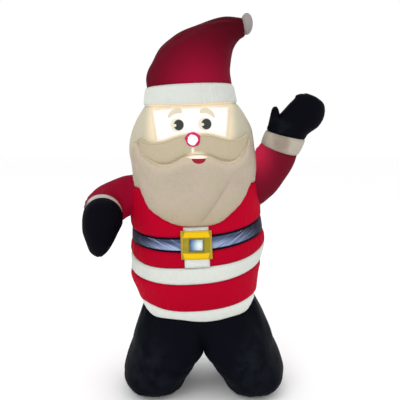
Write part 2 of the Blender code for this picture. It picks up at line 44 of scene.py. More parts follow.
# The column: height above the lowest seam, half width, depth to the front and to the back, squareness,
# and how far it sags to the side
COLUMN = [
    (-0.060, 0.166, 0.132, 0.118, 2.5, -0.002),
    (-0.025, 0.171, 0.141, 0.126, 2.5, -0.002),
    (0.000, 0.177, 0.152, 0.135, 2.5, -0.002),
    (0.055, 0.191, 0.178, 0.155, 2.4, -0.003),
    (0.110, 0.205, 0.196, 0.168, 2.3, -0.008),
    (0.160, 0.211, 0.203, 0.175, 2.2, -0.002),
    (0.205, 0.216, 0.198, 0.176, 2.2, 0.005),
    (0.250, 0.210, 0.186, 0.172, 2.2, 0.005),
    (0.300, 0.2085, 0.183, 0.172, 2.2, 0.001),
    (0.350, 0.205, 0.180, 0.168, 2.2, 0.002),
    (0.410, 0.198, 0.178, 0.160, 2.2, 0.005),
    (0.460, 0.198, 0.178, 0.158, 2.15, 0.005),
    (0.510, 0.198, 0.177, 0.160, 2.1, -0.001),
    (0.560, 0.1905, 0.170, 0.157, 2.1, 0.0),
    (0.605, 0.170, 0.156, 0.149, 2.1, 0.0),
    (0.640, 0.147, 0.143, 0.138, 2.1, 0.0),
    (0.672, 0.138, 0.137, 0.133, 2.1, 0.0),
    (0.704, 0.134, 0.134, 0.130, 2.1, 0.0),
    (0.740, 0.131, 0.130, 0.126, 2.1, 0.0),
]
COLUMN_RADIUS = 0.19
SLICE_SEED = 3.7  # from one slice to the next

# The hem's seams: degrees round the column from its front, and height
HEM_BOTTOM = [
    (-180, 0.000),
    (-110, 0.006),
    (-78, 0.008),
    (-66, 0.002),
    (-56, -0.009),
    (-45, -0.0135),
    (-28, -0.012),
    (-12, -0.015),
    (2, -0.0235),
    (14, -0.0225),
    (30, -0.017),
    (48, -0.016),
    (62, -0.012),
    (72, 0.004),
    (82, 0.016),
    (110, 0.018),
    (180, 0.000),
]
HEM_TOP = [
    (-180, 0.024),
    (-110, 0.020),
    (-80, 0.023),
    (-62, 0.036),
    (-48, 0.034),
    (-30, 0.024),
    (-12, 0.019),
    (4, 0.020),
    (30, 0.028),
    (58, 0.037),
    (80, 0.033),
    (110, 0.030),
    (180, 0.024),
]
# The other seams: height at the column's sides, how much lower they run in front and behind, how
# squarely they drop, and their slope up to the figure's left
BAND_BOTTOM = (0.139, 0.023, 2.2, 0.025)
BAND_TOP = (0.199, 0.030, 4.5, 0.035)
BELT_BOTTOM = (0.234, 0.020, 2.1, 0.032)
BELT_TOP = (0.279, 0.0205, 3.1, 0.050)
NAPE = (0.400, 0.0, 2.0, 0.0)
BRIM_BOTTOM = (0.646, 0.007, 2.0, -0.012)
BRIM_TOP = (0.704, 0.0, 2.0, 0.0)

# The column's slices: name, lower seam, upper seam, swell between the seams, colour, slot
SLICES = [
    ("coat_hem", HEM_BOTTOM, HEM_TOP, 0.004, "hem", "white_cloth"),
    ("coat_skirt", HEM_TOP, BAND_BOTTOM, 0.005, "skirt", "red_cloth"),
    ("coat_band", BAND_BOTTOM, BAND_TOP, 0.004, "fleece", "white_cloth"),
    ("coat_waist", BAND_TOP, BELT_BOTTOM, 0.004, "coat", "red_cloth"),
    ("belt", BELT_BOTTOM, BELT_TOP, 0.003, "belt", "belt_cloth"),
    ("coat_chest", BELT_TOP, NAPE, 0.004, "coat", "red_cloth"),
    ("head", NAPE, BRIM_BOTTOM, 0.003, "hair", "hair_cloth"),
    ("hat_brim", BRIM_BOTTOM, BRIM_TOP, 0.007, "brim", "white_cloth"),
]

# Trousers and boots: height, outer and inner edge of each leg, depth to the front and to the back
CROTCH_X = 0.012
CROTCH_Z = 0.159
LEGS = [
    (0.000, -0.212, -0.062, 0.094, 0.219, 0.110, 0.088),
    (0.008, -0.232, -0.055, 0.086, 0.245, 0.136, 0.104),
    (0.026, -0.246, -0.046, 0.076, 0.269, 0.164, 0.120),
    (0.050, -0.254, -0.036, 0.065, 0.280, 0.180, 0.129),
    (0.080, -0.250, -0.017, 0.043, 0.276, 0.186, 0.135),
    (0.120, -0.238, 0.003, 0.021, 0.262, 0.184, 0.140),
    (0.159, -0.224, 0.0115, 0.0125, 0.243, 0.178, 0.142),
]
HIP_PUFF = 1.35
LEG_SQUARENESS = 2.4
LEG_CROWDING = 1.3  # how much closer the legs' rings lie near the floor
SOLE_OFF = 1.5  # distance from the sole's seam for each metre of height
TROUSERS_FOLDS = 1.6
CROTCH_TURN = radians(48)  # how far round the inside of a leg the crotch seam opens
CROTCH_OPEN_Z = 0.108  # the legs are fully apart below this height
CROTCH_PULL_TURN = radians(17)  # how far round a leg the crotch seam starts to pull
CROTCH_SHARE = 24  # points of each leg's ring that lie on the crotch seam

# Arms: centre, heading from -X towards -Y, dip below level, half width to the side and upwards
LEFT_ARM = [
    (0, 0.100, 0.002, 0.672, 180, 0, 0.074, 0.080),
    (1, 0.162, 0.000, 0.676, 180, -8, 0.072, 0.079),
    (2, 0.2045, -0.004, 0.7065, 178, -22, 0.069, 0.073),
    (3, 0.2268, -0.012, 0.7412, 172, -42, 0.065, 0.066),
    (4, 0.2425, -0.022, 0.7684, 160, -58, 0.061, 0.061),
    (5, 0.2515, -0.030, 0.7915, 150, -70, 0.058, 0.059),
    (6, 0.2686, -0.045, 0.8365, 150, -76, 0.055, 0.0605),
    (6.4, 0.2735, -0.049, 0.849, 153, -79, 0.054, 0.0625),
    (7, 0.2960, -0.055, 0.868, 165, -82, 0.052, 0.0675),
    (8, 0.3160, -0.061, 0.898, 180, -86, 0.047, 0.0645),
    (9, 0.3250, -0.066, 0.927, 180, -90, 0.038, 0.054),
    (10, 0.3240, -0.068, 0.9465, 180, -90, 0.027, 0.0355),
    (11, 0.3170, -0.069, 0.9555, 180, -90, 0.015, 0.0245),
    (12, 0.3160, -0.069, 0.9590, 180, -90, 0.007, 0.0135),
]
LEFT_THUMB = [
    (0, 0.2425, -0.049, 0.845, 150, -76, 0.030, 0.0340),
    (1, 0.2355, -0.053, 0.868, 180, -88, 0.026, 0.0245),
    (2, 0.233, -0.056, 0.892, 180, -88, 0.020, 0.0165),
    (3, 0.232, -0.058, 0.914, 180, -88, 0.012, 0.0100),
    (4, 0.2315, -0.058, 0.922, 180, -88, 0.005, 0.0040),
]
RIGHT_ARM = [
    (0, -0.110, 0.000, 0.640, 0, 0, 0.068, 0.070),
    (1, -0.180, -0.002, 0.645, 0, 2, 0.066, 0.063),
    (2, -0.240, -0.010, 0.637, 16, 12, 0.065, 0.0625),
    (3, -0.285, -0.035, 0.616, 50, 18, 0.064, 0.064),
    (4, -0.302, -0.066, 0.605, 80, 18, 0.061, 0.061),
    (5, -0.301, -0.088, 0.600, 90, 18, 0.058, 0.059),
    (6, -0.294, -0.126, 0.593, 94, 20, 0.0575, 0.062),
    (7, -0.292, -0.151, 0.580, 94, 40, 0.0575, 0.059),
    (8, -0.2965, -0.164, 0.552, 94, 74, 0.050, 0.047),
    (9, -0.2995, -0.163, 0.520, 94, 92, 0.038, 0.038),
    (10, -0.304, -0.160, 0.494, 94, 92, 0.025, 0.026),
    (11, -0.305, -0.159, 0.481, 94, 92, 0.013, 0.015),
    (12, -0.305, -0.1585, 0.476, 94, 92, 0.006, 0.007),
]
# Arms: side, stations, swell of the cuff and of the mitten, seed
ARMS = (("left", LEFT_ARM, 0.005, 0.001, 20.0), ("right", RIGHT_ARM, 0.001, 0.003, 30.0))
# First and last station of each piece of a limb
SLEEVE = (0, 5)
CUFF = (5, 6)
MITTEN = (6, 12)
THUMB = (0, 4)
LIMB_RADIUS = 0.06

# Hat: left and right end of each ring, as seen from the front, and its half depth
HAT = [
    (-0.166, 1.020, 0.094, 1.030, 0.126),
    (-0.150, 1.060, 0.095, 1.065, 0.119),
    (-0.120, 1.106, 0.100, 1.094, 0.105),
    (-0.062, 1.149, 0.107, 1.113, 0.085),
    (0.000, 1.1755, 0.117, 1.128, 0.063),
    (0.070, 1.195, 0.125, 1.136, 0.043),
    (0.1235, 1.193, 0.136, 1.1435, 0.024),
]
HAT_DENT = Vector((-0.150, -0.006, 1.056))
HAT_DENT_REACH = 0.013
HAT_DENT_DEPTH = 0.0075
HAT_END = ((0.0015, 0.8), (0.002, 0.4))  # the tip's closing rings: bulge and size
HAT_STEPS = 90
HAT_RADIUS = COLUMN_RADIUS * 0.7
HAT_FOLDS = 1.4
POMPOM_OFF = 0.05  # far from any seam
POMPOM_CENTRE = (0.1455, 0.0, 1.178)
POMPOM_RADII = (0.0195, 0.026, 0.033)

# Front patches, in degrees round the column from its front, and heights above its lowest seam
PATCH_BASE = 0.0046
BEARD_SIDE = 60
BEARD_EDGE = [
    (-60, 0.424),
    (-47, 0.392),
    (-37, 0.348),
    (-27, 0.322),
    (-13, 0.296),
    (2, 0.289),
    (17, 0.296),
    (28, 0.322),
    (38, 0.350),
    (48, 0.392),
    (60, 0.424),
]
BEARD_TOP_AT_SIDE = 0.540
BEARD_BULGE = 0.024
BEARD_SIZE = (0.42, 0.22)
MOUSTACHE_SIDE = 54
MOUSTACHE_MIDDLE = 3.5
MOUSTACHE_TOP = [(0, 0.552), (10, 0.553), (26, 0.538), (40, 0.537), (54, 0.552)]
MOUSTACHE_BOTTOM = [(0, 0.500), (8, 0.496), (21, 0.476), (32, 0.478), (43, 0.503), (54, 0.549)]
MOUSTACHE_BULGE = 0.018
MOUSTACHE_SIZE = (0.40, 0.07)
FACE_MIDDLE = 0.0025
FACE_HALF_WIDTHS = (0.1005, 0.1135)
FACE_HEIGHTS = (0.540, 0.637)
FACE_BULGE = 0.004
FACE_SIZE = (0.24, 0.10)
PATCH_EDGE = 0.0015
PATCH_FULLNESS = 0.45  # how steeply a patch rises from its edge
PATCH_SQUARENESS = 4
PATCH_GAP = 0.001
NOSE_MIDDLE = 0.0055
NOSE_HEIGHT = 0.540
NOSE_RADIUS = 0.0232
NOSE_DEPTH = 0.024
NOSE_WALL = 0.004
NOSE_END = 0.97  # share of the dome that the nose's rings cover
FRONT_MIDDLE = 0.003
STRIP_HALF_WIDTH = 0.036
STRIP_THICKNESS = 0.002
BUCKLE_HEIGHT = 0.2365
BUCKLE_HALF = (0.0435, 0.0410)
BUCKLE_HOLE_HALF = (0.0185, 0.0165)
BUCKLE_SLOPE = -0.020  # slope up to the figure's left
BUCKLE_THICKNESS = 0.005
BUCKLE_OUT = 0.005
BUCKLE_PARTS = 6  # parts of its grid each way: two on each bar and two on the hole

# Size of the meshes' cells, and points round the column, the limbs and the nose
CELL = 0.0035
COLUMN_AROUND = 360
TROUSERS_AROUND = 240
LIMB_AROUND = 120
NOSE_AROUND = 96
NOSE_STEPS = 28
SLEEVE_STEPS = 70
CUFF_STEPS = 16
MITTEN_STEPS = 70
THUMB_STEPS = 36

# Relief of sewn cloth: how fast it rises from a seam, the gathers beside the seam, and slow folds
SEAM_RISE = 0.005
GATHER_PITCH = 0.011
GATHER_LENGTH = 0.060
GATHER_REACH = 0.012
GATHER_DEPTH = 0.0022
SWAY_PITCH = 0.055
SWAY_DEPTH = 0.0022

# Kinds of cloth: roughness, refraction, pitch of the threads and depth of the nap
NYLON = (0.75, 1.12, 0.0011, 0.00005)
BLACK_NYLON = (0.55, 1.08, 0.0011, 0.00005)
FACE_NYLON = (0.70, 1.10, 0.0011, 0.00003)
NOSE_NYLON = (0.50, 1.15, 0.0011, 0.00004)
BUCKLE_NYLON = (0.60, 1.15, 0.0011, 0.00003)
BELT_SATIN = (0.50, 1.12, 0.0011, 0.00004)
FUR = (0.85, 1.10, 0.0014, 0.00018)
HAIR_FUR = (0.85, 1.10, 0.0014, 0.00014)
BEARD_FUR = (0.85, 1.10, 0.0014, 0.00012)
POMPOM_FUR = (0.90, 1.10, 0.0014, 0.00040)

# Stitches beside each seam, and the painted shade of the creases there
STITCH_OFF = 0.0042
STITCH_WIDTH = 0.0006
STITCH_CORE = 0.4
STITCH_PITCH = 0.0042
STITCH_SHARE = 0.68
STITCH_SHADE = 0.22
STITCH_DEPTH = 0.0006
CREASE_SHADE_WIDTH = 0.0022
CREASE_SHADE_DEPTH = 0.40
# Cloudy shade and grain of the dyed cloth, small wrinkles, weave and the nap's fibres
CLOUD_SCALE = 14.0
CLOUD_DEPTH = 0.24
GRAIN_SCALE = 210.0
GRAIN_DEPTH = 0.26
WRINKLE_SCALE = 34.0
WRINKLE_DEPTH = 0.0016
WEAVE_DEPTH = 0.12
NAP_SCALE = 900.0

# Lamps inside: place behind the front and reach to the side and up, which give the glow on the cloth
HEAD_LAMP = ((-0.018, 0.930), (0.145, 0.135))
HAT_LAMP = ((-0.010, 0.975), (0.115, 0.125))
CHEST_LAMP = ((-0.010, 0.640), (0.240, 0.170))
RAISED_LAMP = ((0.178, 0.785), (0.040, 0.070))
LOWERED_LAMP = ((-0.170, 0.620), (0.080, 0.080))
BELLY_LAMP = ((-0.010, 0.480), (0.190, 0.260))

# Most pairs below say where a change of colour or light starts and where it ends

# Painted shade on the cuffs, and soft painted highlights on the black cloth: place and reach
LEFT_CUFF_SHADE = ((0.248, 0.812), (0.026, 0.034))
RIGHT_CUFF_SHADE = ((-0.352, 0.590), (0.030, 0.060))
CUFF_SHADE_SCALE = 40.0
CUFF_SHADE_FADE = (1.3, 0.5)
TOE_HIGHLIGHTS = (
    ((-0.135, 0.086), (0.070, 0.024)),
    ((-0.160, 0.120), (0.095, 0.110)),
    ((0.160, 0.098), (0.070, 0.026)),
    ((0.170, 0.130), (0.085, 0.110)),
)
PALM_HIGHLIGHTS = (((0.245, 0.862), (0.050, 0.036)),)
HIGHLIGHT_FADE = (1.2, 0.2)
HIGHLIGHT_SCALE = 30.0
HIGHLIGHT_CLOUDS = (0.30, 0.75)
BLACK_HIGHLIGHT = (0.0075, 0.0105, 0.0145)

# Print of the belt, and the painted glow and painted shadow on the cloth in the buckle's hole
BUCKLE_X = -0.0103
BUCKLE_Z = 0.5190
BELT_MIDDLE = (0.055, 0.080, 0.160)
BELT_SHINE = (0.260, 0.330, 0.520)
BELT_SIDE = (0.014, 0.013, 0.028)
BELT_LIGHT = (0.62, 0.72, 0.90)
BELT_FADE = (0.205, 0.050)
BELT_SHINE_FADE = (0.72, 0.30)
BELT_GLOW = 0.15
SCRIBBLE_SLANT = -0.55
SCRIBBLE_CLIMB = 0.050
SCRIBBLE_STRETCH = (0.30, 7.0)
SCRIBBLE_FADE = (0.20, 0.11)
LIGHT_SCRIBBLE_SCALE = 40.0
LIGHT_SCRIBBLE_FADE = (0.54, 0.66)
LIGHT_SCRIBBLE_SHARE = 0.50
DARK_SCRIBBLE_SCALE = 26.0
DARK_SCRIBBLE_FADE = (0.47, 0.36)
DARK_SCRIBBLE_SHARE = 0.55
PIPING = (0.004, 0.002, 0.010)
PIPING_FADE = (0.16, 0.12)
HOLE_GLOW_BLUE = (0.17, 0.30, 0.55)
HOLE_GLOW_WHITE = (0.88, 1.0, 0.98)
HOLE_SHADE = (0.09, 0.11, 0.15)
HOLE_GLOW_FADE = (-0.0165, 0.0132)
HOLE_SHADE_FADE = (0.86, 0.76)
HOLE_EDGE = (0.0195, 0.0165)
HOLE_FRONT = (0.0, -0.05)

# Print of the buckle
YELLOW = (0.74, 0.46, 0.006)
OLIVE_DARK = (0.20, 0.165, 0.020)
OLIVE_PALE = (0.36, 0.29, 0.024)
OLIVE_SCALE = 60.0
OLIVE_SLANT = 0.30
OLIVE_HEIGHT = (0.0240, 0.0200)
OLIVE_END = (0.0440, 0.0480)
BUCKLE_SHADOW = (0.14, 0.105, 0.02)
BUCKLE_SHADOW_FADE = (0.009, 0.001)
BUCKLE_RIM = (0.66, 0.42, 0.04)
BUCKLE_RIM_FADE = (0.0205, 0.0240)
BUCKLE_GLOW = 0.12

# Print of the face and nose, and the warmer painted glow at the face panel's edges
FACE_X = -0.0275
FACE_WHITE = (0.53, 0.525, 0.505)
FACE_EDGE_GLOW = (0.50, 0.42, 0.31)
FACE_EDGE_GLOW_FADE = (0.0, 0.014)
FACE_GLOW = 0.85
EYES = ((-0.0612, 0.8660), (0.0185, 0.8688))
EYE_RADIUS = 0.0145
EYE_HEIGHT = EYE_RADIUS * 1.06
HALO_SHIFT = EYE_RADIUS * 0.30
HALO_RADIUS = EYE_RADIUS * 1.28
HALO_SHARE = 0.75
NOTCH_SHIFT = (EYE_RADIUS * 0.77, EYE_RADIUS * 0.08)
NOTCH_RADIUS = EYE_RADIUS * 0.3
EYE_HALO = (0.42, 0.37, 0.28)
HALO_FADE = (1.14, 0.92)
PUPIL = (0.028, 0.031, 0.028)
NOTCH_FADE = (0.85, 1.15)
PRINT_EDGE = (1.05, 0.95)
BROWS = (
    ((-0.0728, 0.9054), (0.0205, 0.0080), 0.385),
    ((0.0210, 0.9066), (0.0220, 0.0080), -0.320),
)
BROW_BEND = 20.0
BROW_SQUARENESS = 6.0
BROW = (0.41, 0.36, 0.27)
BROW_FADE = (1.25, 0.80)
NOSE_X = -0.0205
NOSE_Z = 0.8245
NOSE_PINK = (0.56, 0.020, 0.100)
NOSE_WHITE = (1.0, 0.84, 0.94)
NOSE_SCALE = 70.0
NOSE_RAGGED = 0.40
NOSE_FADE = (0.68, 0.50)

# Hair, brim and beard
NO_LIGHT = (0.0, 0.0, 0.0)
FLEECE = (0.62, 0.645, 0.60)
HAIR = (0.49, 0.455, 0.35)
HAIR_LIT = (0.70, 0.58, 0.40)
HAIR_LIGHT_REACH = (FACE_HALF_WIDTHS[1] + 0.030, FACE_HALF_WIDTHS[1] - 0.004)
HAIR_LIGHT_HEIGHT = (0.800, 0.830)
HAIR_LIGHT_DEPTH = (0.02, -0.05)
HAIR_GLOW = 0.30
BRIM_LIT = (0.90, 0.66, 0.36)
BRIM_LIGHT_SHARE = (0.12, 0.0)
BRIM_LIGHT_DEPTH = (-0.02, -0.09)
BRIM_GLOW = 0.35
BEARD_PINK = (0.50, 0.395, 0.335)
BEARD_GLOW = 0.10
BLOTCH_SCALE = 26.0
BLOTCH_FADE = (0.38, 0.62)
BEARD_GRAIN_SCALE = 260.0
BEARD_GRAIN_DEPTH = 0.36
BEARD_LOW = (0.43, 0.35, 0.235)
BEARD_LOW_FADE = (0.66, 0.58)
# Painted light along the beard's top, under the moustache: a lighter colour that also glows
BEARD_TOP_LIT = (0.52, 0.44, 0.33)
BEARD_TOP_LIT_FADE = (0.80, 0.98)
# Painted shade of a fold down the beard: its curve, its fading, a dark crease line and a darker lee
# beside it
FOLD_X = 0.0023
FOLD_Z = 0.586
FOLD_SLOPE = 0.784
FOLD_BEND = 0.87
FOLD_TOP_FADE = (0.740, 0.67)
FOLD_LOW_FADE = (0.575, 0.60)
FOLD_WIDTH = (0.0075, 0.0)
FOLD_LEE_START = (0.001, -0.002)
FOLD_LEE_REACH = (-0.040, 0.0)
FOLD_SHADE = (0.16, 0.12, 0.075)
MOUTH_X = -0.0033
MOUTH_Z = 0.7711
MOUTH_RADII = (0.0200, 0.0145)
MOUTH_TOP = (0.0008, -0.0008)
MOUTH_RED = (0.30, 0.018, 0.034)
MOUTH_LIP = ((MOUTH_X - 0.004, MOUTH_Z + 0.0040), (0.029, 0.0048))
LIP_FADE = (1.15, 0.7)
LIP_PALE = (0.98, 0.80, 0.72)
RIM_SHARE = (0.965, 1.0)
RIM_HEIGHT = (0.812, 0.802)
RIM_GLOW = 0.75
MOUSTACHE_LIP = ((MOUTH_X - 0.006, MOUTH_Z + 0.010), (0.032, 0.013))
MOUSTACHE_LIP_FADE = (1.1, 0.4)
NOSE_LINE = ((NOSE_X, NOSE_Z - 0.032), (0.006, 0.016))
NOSE_LINE_FADE = (1.1, 0.3)
MOUSTACHE_PALE = (0.90, 0.80, 0.66)
MOUSTACHE_RIM = (0.004, 0.0)
MOUSTACHE_RIM_GLOW = 0.45

# Studio: half width of the floor, and each lamp's place, strength and width
FLOOR_HALF = 12.0
STUDIO_LAMPS = (
    ("key", (-1.6, -2.4, 2.6), 22.0, 1.8),
    ("fill", (2.2, -1.6, 1.8), 6.0, 2.0),
    ("back", (0.4, 2.4, 2.2), 12.0, 2.0),
)
LAMP_AIM = Vector((0.0, 0.0, 0.6))
CAMERA_PLACE = (0.0, -1.625, 0.866)
CAMERA_DIP = 8.53


def smooth(rows, key):
    """Read a table on a smooth curve: the first column is the key, and the others are returned."""
    last = len(rows) - 1
    i = 0
    while i < last - 1 and key > rows[i + 1][0]:
        i += 1
    step = rows[i + 1][0] - rows[i][0]
    t = min(max((key - rows[i][0]) / step, 0.0), 1.0)
    values = []
    for column in range(1, len(rows[0])):
        ends = rows[i][column], rows[i + 1][column]
        slopes = []
        for k in (i, i + 1):
            before = rows[max(k - 1, 0)]
            after = rows[min(k + 1, last)]
            slopes.append(step * (after[column] - before[column]) / (after[0] - before[0]))
        bend = (2 * t**3 - 3 * t**2 + 1) * ends[0] + (3 * t**2 - 2 * t**3) * ends[1]
        bend += (t**3 - 2 * t**2 + t) * slopes[0] + (t**3 - t**2) * slopes[1]
        values.append(bend)
    return values


def rounded(value, power):
    """Raise to a power and keep the sign."""
    return copysign(abs(value) ** power, value)


def leaned(x, y, height):
    """Carry a point of the upright column over to where it leans."""
    across = SEAM_X + x * cos(LEAN) - height * sin(LEAN)
    up = SEAM_Z + x * sin(LEAN) + height * cos(LEAN)
    return Vector((across, y, up))


def column_point(turn, height, out=0.0):
    """Point on the column's skin, turned from its front towards the figure's left."""
    half, front, back, squareness, sag = smooth(COLUMN, height)
    depth = front if cos(turn) > 0 else back
    x = sag + (half + out) * rounded(sin(turn), 2 / squareness)
    y = -(depth + out) * rounded(cos(turn), 2 / squareness)
    return leaned(x, y, height)


def turn_at(x, height):
    """Angle round the column at which its front reaches a given distance from the middle."""
    half, _, _, squareness, sag = smooth(COLUMN, height)
    return asin(rounded(min(max((x - sag) / half, -1.0), 1.0), squareness / 2))


def seam_height(seam, turn):
    """Height of a seam at an angle round the column."""
    if isinstance(seam, list):
        return smooth(seam, degrees((turn + pi) % (2 * pi) - pi))[0]
    level, drop, squareness, slope = seam
    half = smooth(COLUMN, level)[0]
    return level - drop * (1 - abs(sin(turn)) ** squareness) + slope * half * sin(turn)


class Cloth:
    """Points and faces of one piece, and where each point lies on its cloth.

    A place on the cloth is the angle along its seam, the seam's radius, the distance from the nearest
    seam, and the share of the way across from the lower seam to the upper one.
    """

    def __init__(self):
        self.points = []
        self.places = []
        self.faces = []

    def add(self, point, turn, radius, off, share):
        """Add a point and give its number."""
        self.points.append(point)
        self.places.append((turn, radius, off, share))
        return len(self.points) - 1

    def add_strip(self, below, above):
        """Join two closed rings of equal count."""
        count = len(below)
        for k in range(count):
            after = (k + 1) % count
            self.faces.append((below[k], below[after], above[after], above[k]))

    def add_fan(self, ring):
        """Close a ring by triangles that meet at its middle."""
        middle = sum((self.points[k] for k in ring), Vector()) / len(ring)
        centre = self.add(middle, *self.places[ring[0]])
        for near, far in zip(ring, ring[1:] + ring[:1]):
            self.faces.append((near, far, centre))

    def add_skin(self, rings):
        """Join rings one after another, and close the first and the last."""
        for below, above in zip(rings, rings[1:]):
            self.add_strip(below, above)
        self.add_fan(rings[0])
        self.add_fan(rings[-1])

    def relief(self, number, swell, seed, folds):
        """How far a point stands out from the plain surface."""
        turn, radius, off, _ = self.places[number]
        round_x = radius * cos(turn)
        round_y = radius * sin(turn)
        rise = 1 - exp(-off / SEAM_RISE)
        ease = off / GATHER_REACH * exp(1 - off / GATHER_REACH)
        gather_place = (round_x / GATHER_PITCH, round_y / GATHER_PITCH, seed + off / GATHER_LENGTH)
        sway_place = (round_x / SWAY_PITCH, round_y / SWAY_PITCH, seed + off / SWAY_PITCH)
        out = swell * rise
        out += GATHER_DEPTH * noise.noise(Vector(gather_place)) * ease
        out += folds * SWAY_DEPTH * noise.noise(Vector(sway_place)) * rise
        return out

    def make(self, name, material, slot, swell, seed=0.0, extra=None, folds=1.0):
        """Make the piece: a closed mesh with its relief, standing in for the node of the same name."""
        mesh = bpy.data.meshes.new(name)
        shift = Vector((MIDDLE_X, MIDDLE_Y, 0.0))
        mesh.from_pydata([tuple(point - shift) for point in self.points], [], self.faces)
        work = bmesh.new()
        work.from_mesh(mesh)
        bmesh.ops.recalc_face_normals(work, faces=work.faces)
        work.normal_update()
        moves = []
        for number, vertex in enumerate(work.verts):
            out = self.relief(number, swell, seed, folds)
            if extra is not None:
                out += extra(self.points[number])
            moves.append(vertex.normal * out)
        for vertex, move in zip(work.verts, moves):
            vertex.co += move
            vertex.co.z = max(vertex.co.z, 0.0)
        work.to_mesh(mesh)
        work.free()
        mesh.shade_smooth()
        sewn = mesh.attributes.new("sewn", "FLOAT_VECTOR", "POINT")
        for number, (turn, radius, off, share) in enumerate(self.places):
            sewn.data[number].vector = (turn * radius, off, share)
        mesh.materials.append(material)
        piece = bpy.data.objects.new("shown_" + name, mesh)
        bpy.context.scene.collection.objects.link(piece)
        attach(piece, "root")
        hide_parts(name)
        return piece


def whole_turn(count):
    """Angles of the points round a ring, from minus half a turn to half a turn."""
    return [-pi + 2 * pi * k / count for k in range(count)]


def column_cloth(name, seam_low, seam_high, swell, kind, slot, seed):
    """Slice of the column between two seams."""
    cloth = Cloth()
    turns = whole_turn(COLUMN_AROUND)
    tallest = max(seam_height(seam_high, turn) - seam_height(seam_low, turn) for turn in turns)
    steps = max(6, ceil(tallest / CELL))
    rings = []
    for step in range(steps + 1):
        share = step / steps
        ring = []
        for turn in turns:
            low = seam_height(seam_low, turn)
            high = seam_height(seam_high, turn)
            off = min(share, 1 - share) * (high - low)
            point = column_point(turn, low + (high - low) * share)
            ring.append(cloth.add(point, turn, COLUMN_RADIUS, off, share))
        rings.append(ring)
    cloth.add_skin(rings)
    return cloth.make(name, MATERIALS[kind], slot, swell, seed)


def make_column():
    """Coat, belt, head and brim."""
    for number, (name, low, high, swell, kind, slot) in enumerate(SLICES):
        column_cloth(name, low, high, swell, kind, slot, SLICE_SEED * number)


def leg_ring(side, z, around):
    """Ring of one leg, from the front of the crotch round the outside and back under the crotch."""
    left_outer, left_inner, right_inner, right_outer, front, back = smooth(LEGS, z)
    outer, inner = (left_outer, left_inner) if side < 0 else (right_outer, right_inner)
    middle = (outer + inner) / 2
    half = abs(outer - inner) / 2
    turns = []
    for k in range(around // 2 + 1):
        turns.append(-CROTCH_TURN + (pi + 2 * CROTCH_TURN) * k / (around // 2))
    for k in range(1, CROTCH_SHARE):
        turns.append(pi + CROTCH_TURN + (pi - 2 * CROTCH_TURN) * k / CROTCH_SHARE)
    closing = max(0.0, (z - CROTCH_OPEN_Z) / (CROTCH_Z - CROTCH_OPEN_Z))
    pull_start = sin(CROTCH_PULL_TURN)
    ring = []
    for turn in turns:
        depth = front if cos(turn) > 0 else back
        x = middle + side * half * rounded(sin(turn), 2 / LEG_SQUARENESS)
        inward = (-sin(turn) - pull_start) / (sin(CROTCH_TURN) - pull_start)
        x += (CROTCH_X - x) * closing * min(max(inward, 0.0), 1.0)
        ring.append(Vector((x, -depth * rounded(cos(turn), 2 / LEG_SQUARENESS), z)))
    return ring


def make_trousers():
    """Hips that part into two legs, with flat soles on the floor."""
    cloth = Cloth()
    half_way = TROUSERS_AROUND // 2
    left = leg_ring(-1, CROTCH_Z, TROUSERS_AROUND)
    right = leg_ring(1, CROTCH_Z, TROUSERS_AROUND)
    parting = [(left[0] + right[0]) / 2]
    parting += right[1:half_way]
    parting.append((left[half_way] + right[half_way]) / 2)
    parting += reversed(left[1:half_way])

    hip_steps = ceil((SEAM_Z - CROTCH_Z) / CELL)
    rings = []
    for step in range(hip_steps + 1):
        share = step / hip_steps
        spread = 1 - (1 - share) ** HIP_PUFF
        ring = []
        for k, below in enumerate(parting):
            turn = 2 * pi * k / TROUSERS_AROUND
            above = column_point(turn, seam_height(HEM_BOTTOM, turn))
            point = above.lerp(below, spread)
            point.z = above.z + (below.z - above.z) * share
            off = share * (above.z - below.z)
            ring.append(cloth.add(point, turn, COLUMN_RADIUS, off, 1.0))
        rings.append(ring)
    for above, below in zip(rings, rings[1:]):
        cloth.add_strip(above, below)
    cloth.add_fan(rings[0])

    crotch = []
    for k in range(1, CROTCH_SHARE):
        point = parting[half_way].lerp(parting[0], k / CROTCH_SHARE)
        crotch.append(cloth.add(point, pi / 2, COLUMN_RADIUS, CROTCH_Z, 1.0))
    leg_steps = ceil(CROTCH_Z / CELL)
    for side in (1, -1):
        above = [rings[-1][(side * k) % TROUSERS_AROUND] for k in range(half_way + 1)]
        above += crotch
        for step in range(1, leg_steps + 1):
            z = CROTCH_Z * (1 - step / leg_steps) ** LEG_CROWDING
            below = []
            for k, point in enumerate(leg_ring(side, z, TROUSERS_AROUND)):
                place = cloth.places[above[k]]
                off = min(SEAM_Z - z, SOLE_OFF * z)
                below.append(cloth.add(point, side * place[0], COLUMN_RADIUS, off, z / CROTCH_Z))
            cloth.add_strip(above, below)
            above = below
        cloth.add_fan(above)
    return cloth.make("trousers", MATERIALS["trousers"], "black_cloth", 0.001, 51.0, folds=TROUSERS_FOLDS)


def limb_frame(station):
    """Centre, sideways and upwards directions of a limb, and its half widths."""
    x, y, z, heading, dip, side, up = station
    heading = radians(heading)
    dip = radians(dip)
    forward = Vector((-cos(heading) * cos(dip), -sin(heading) * cos(dip), -sin(dip)))
    sideways = Vector((sin(heading), -cos(heading), 0.0))
    return Vector((x, y, z)), sideways, forward.cross(sideways), side, up


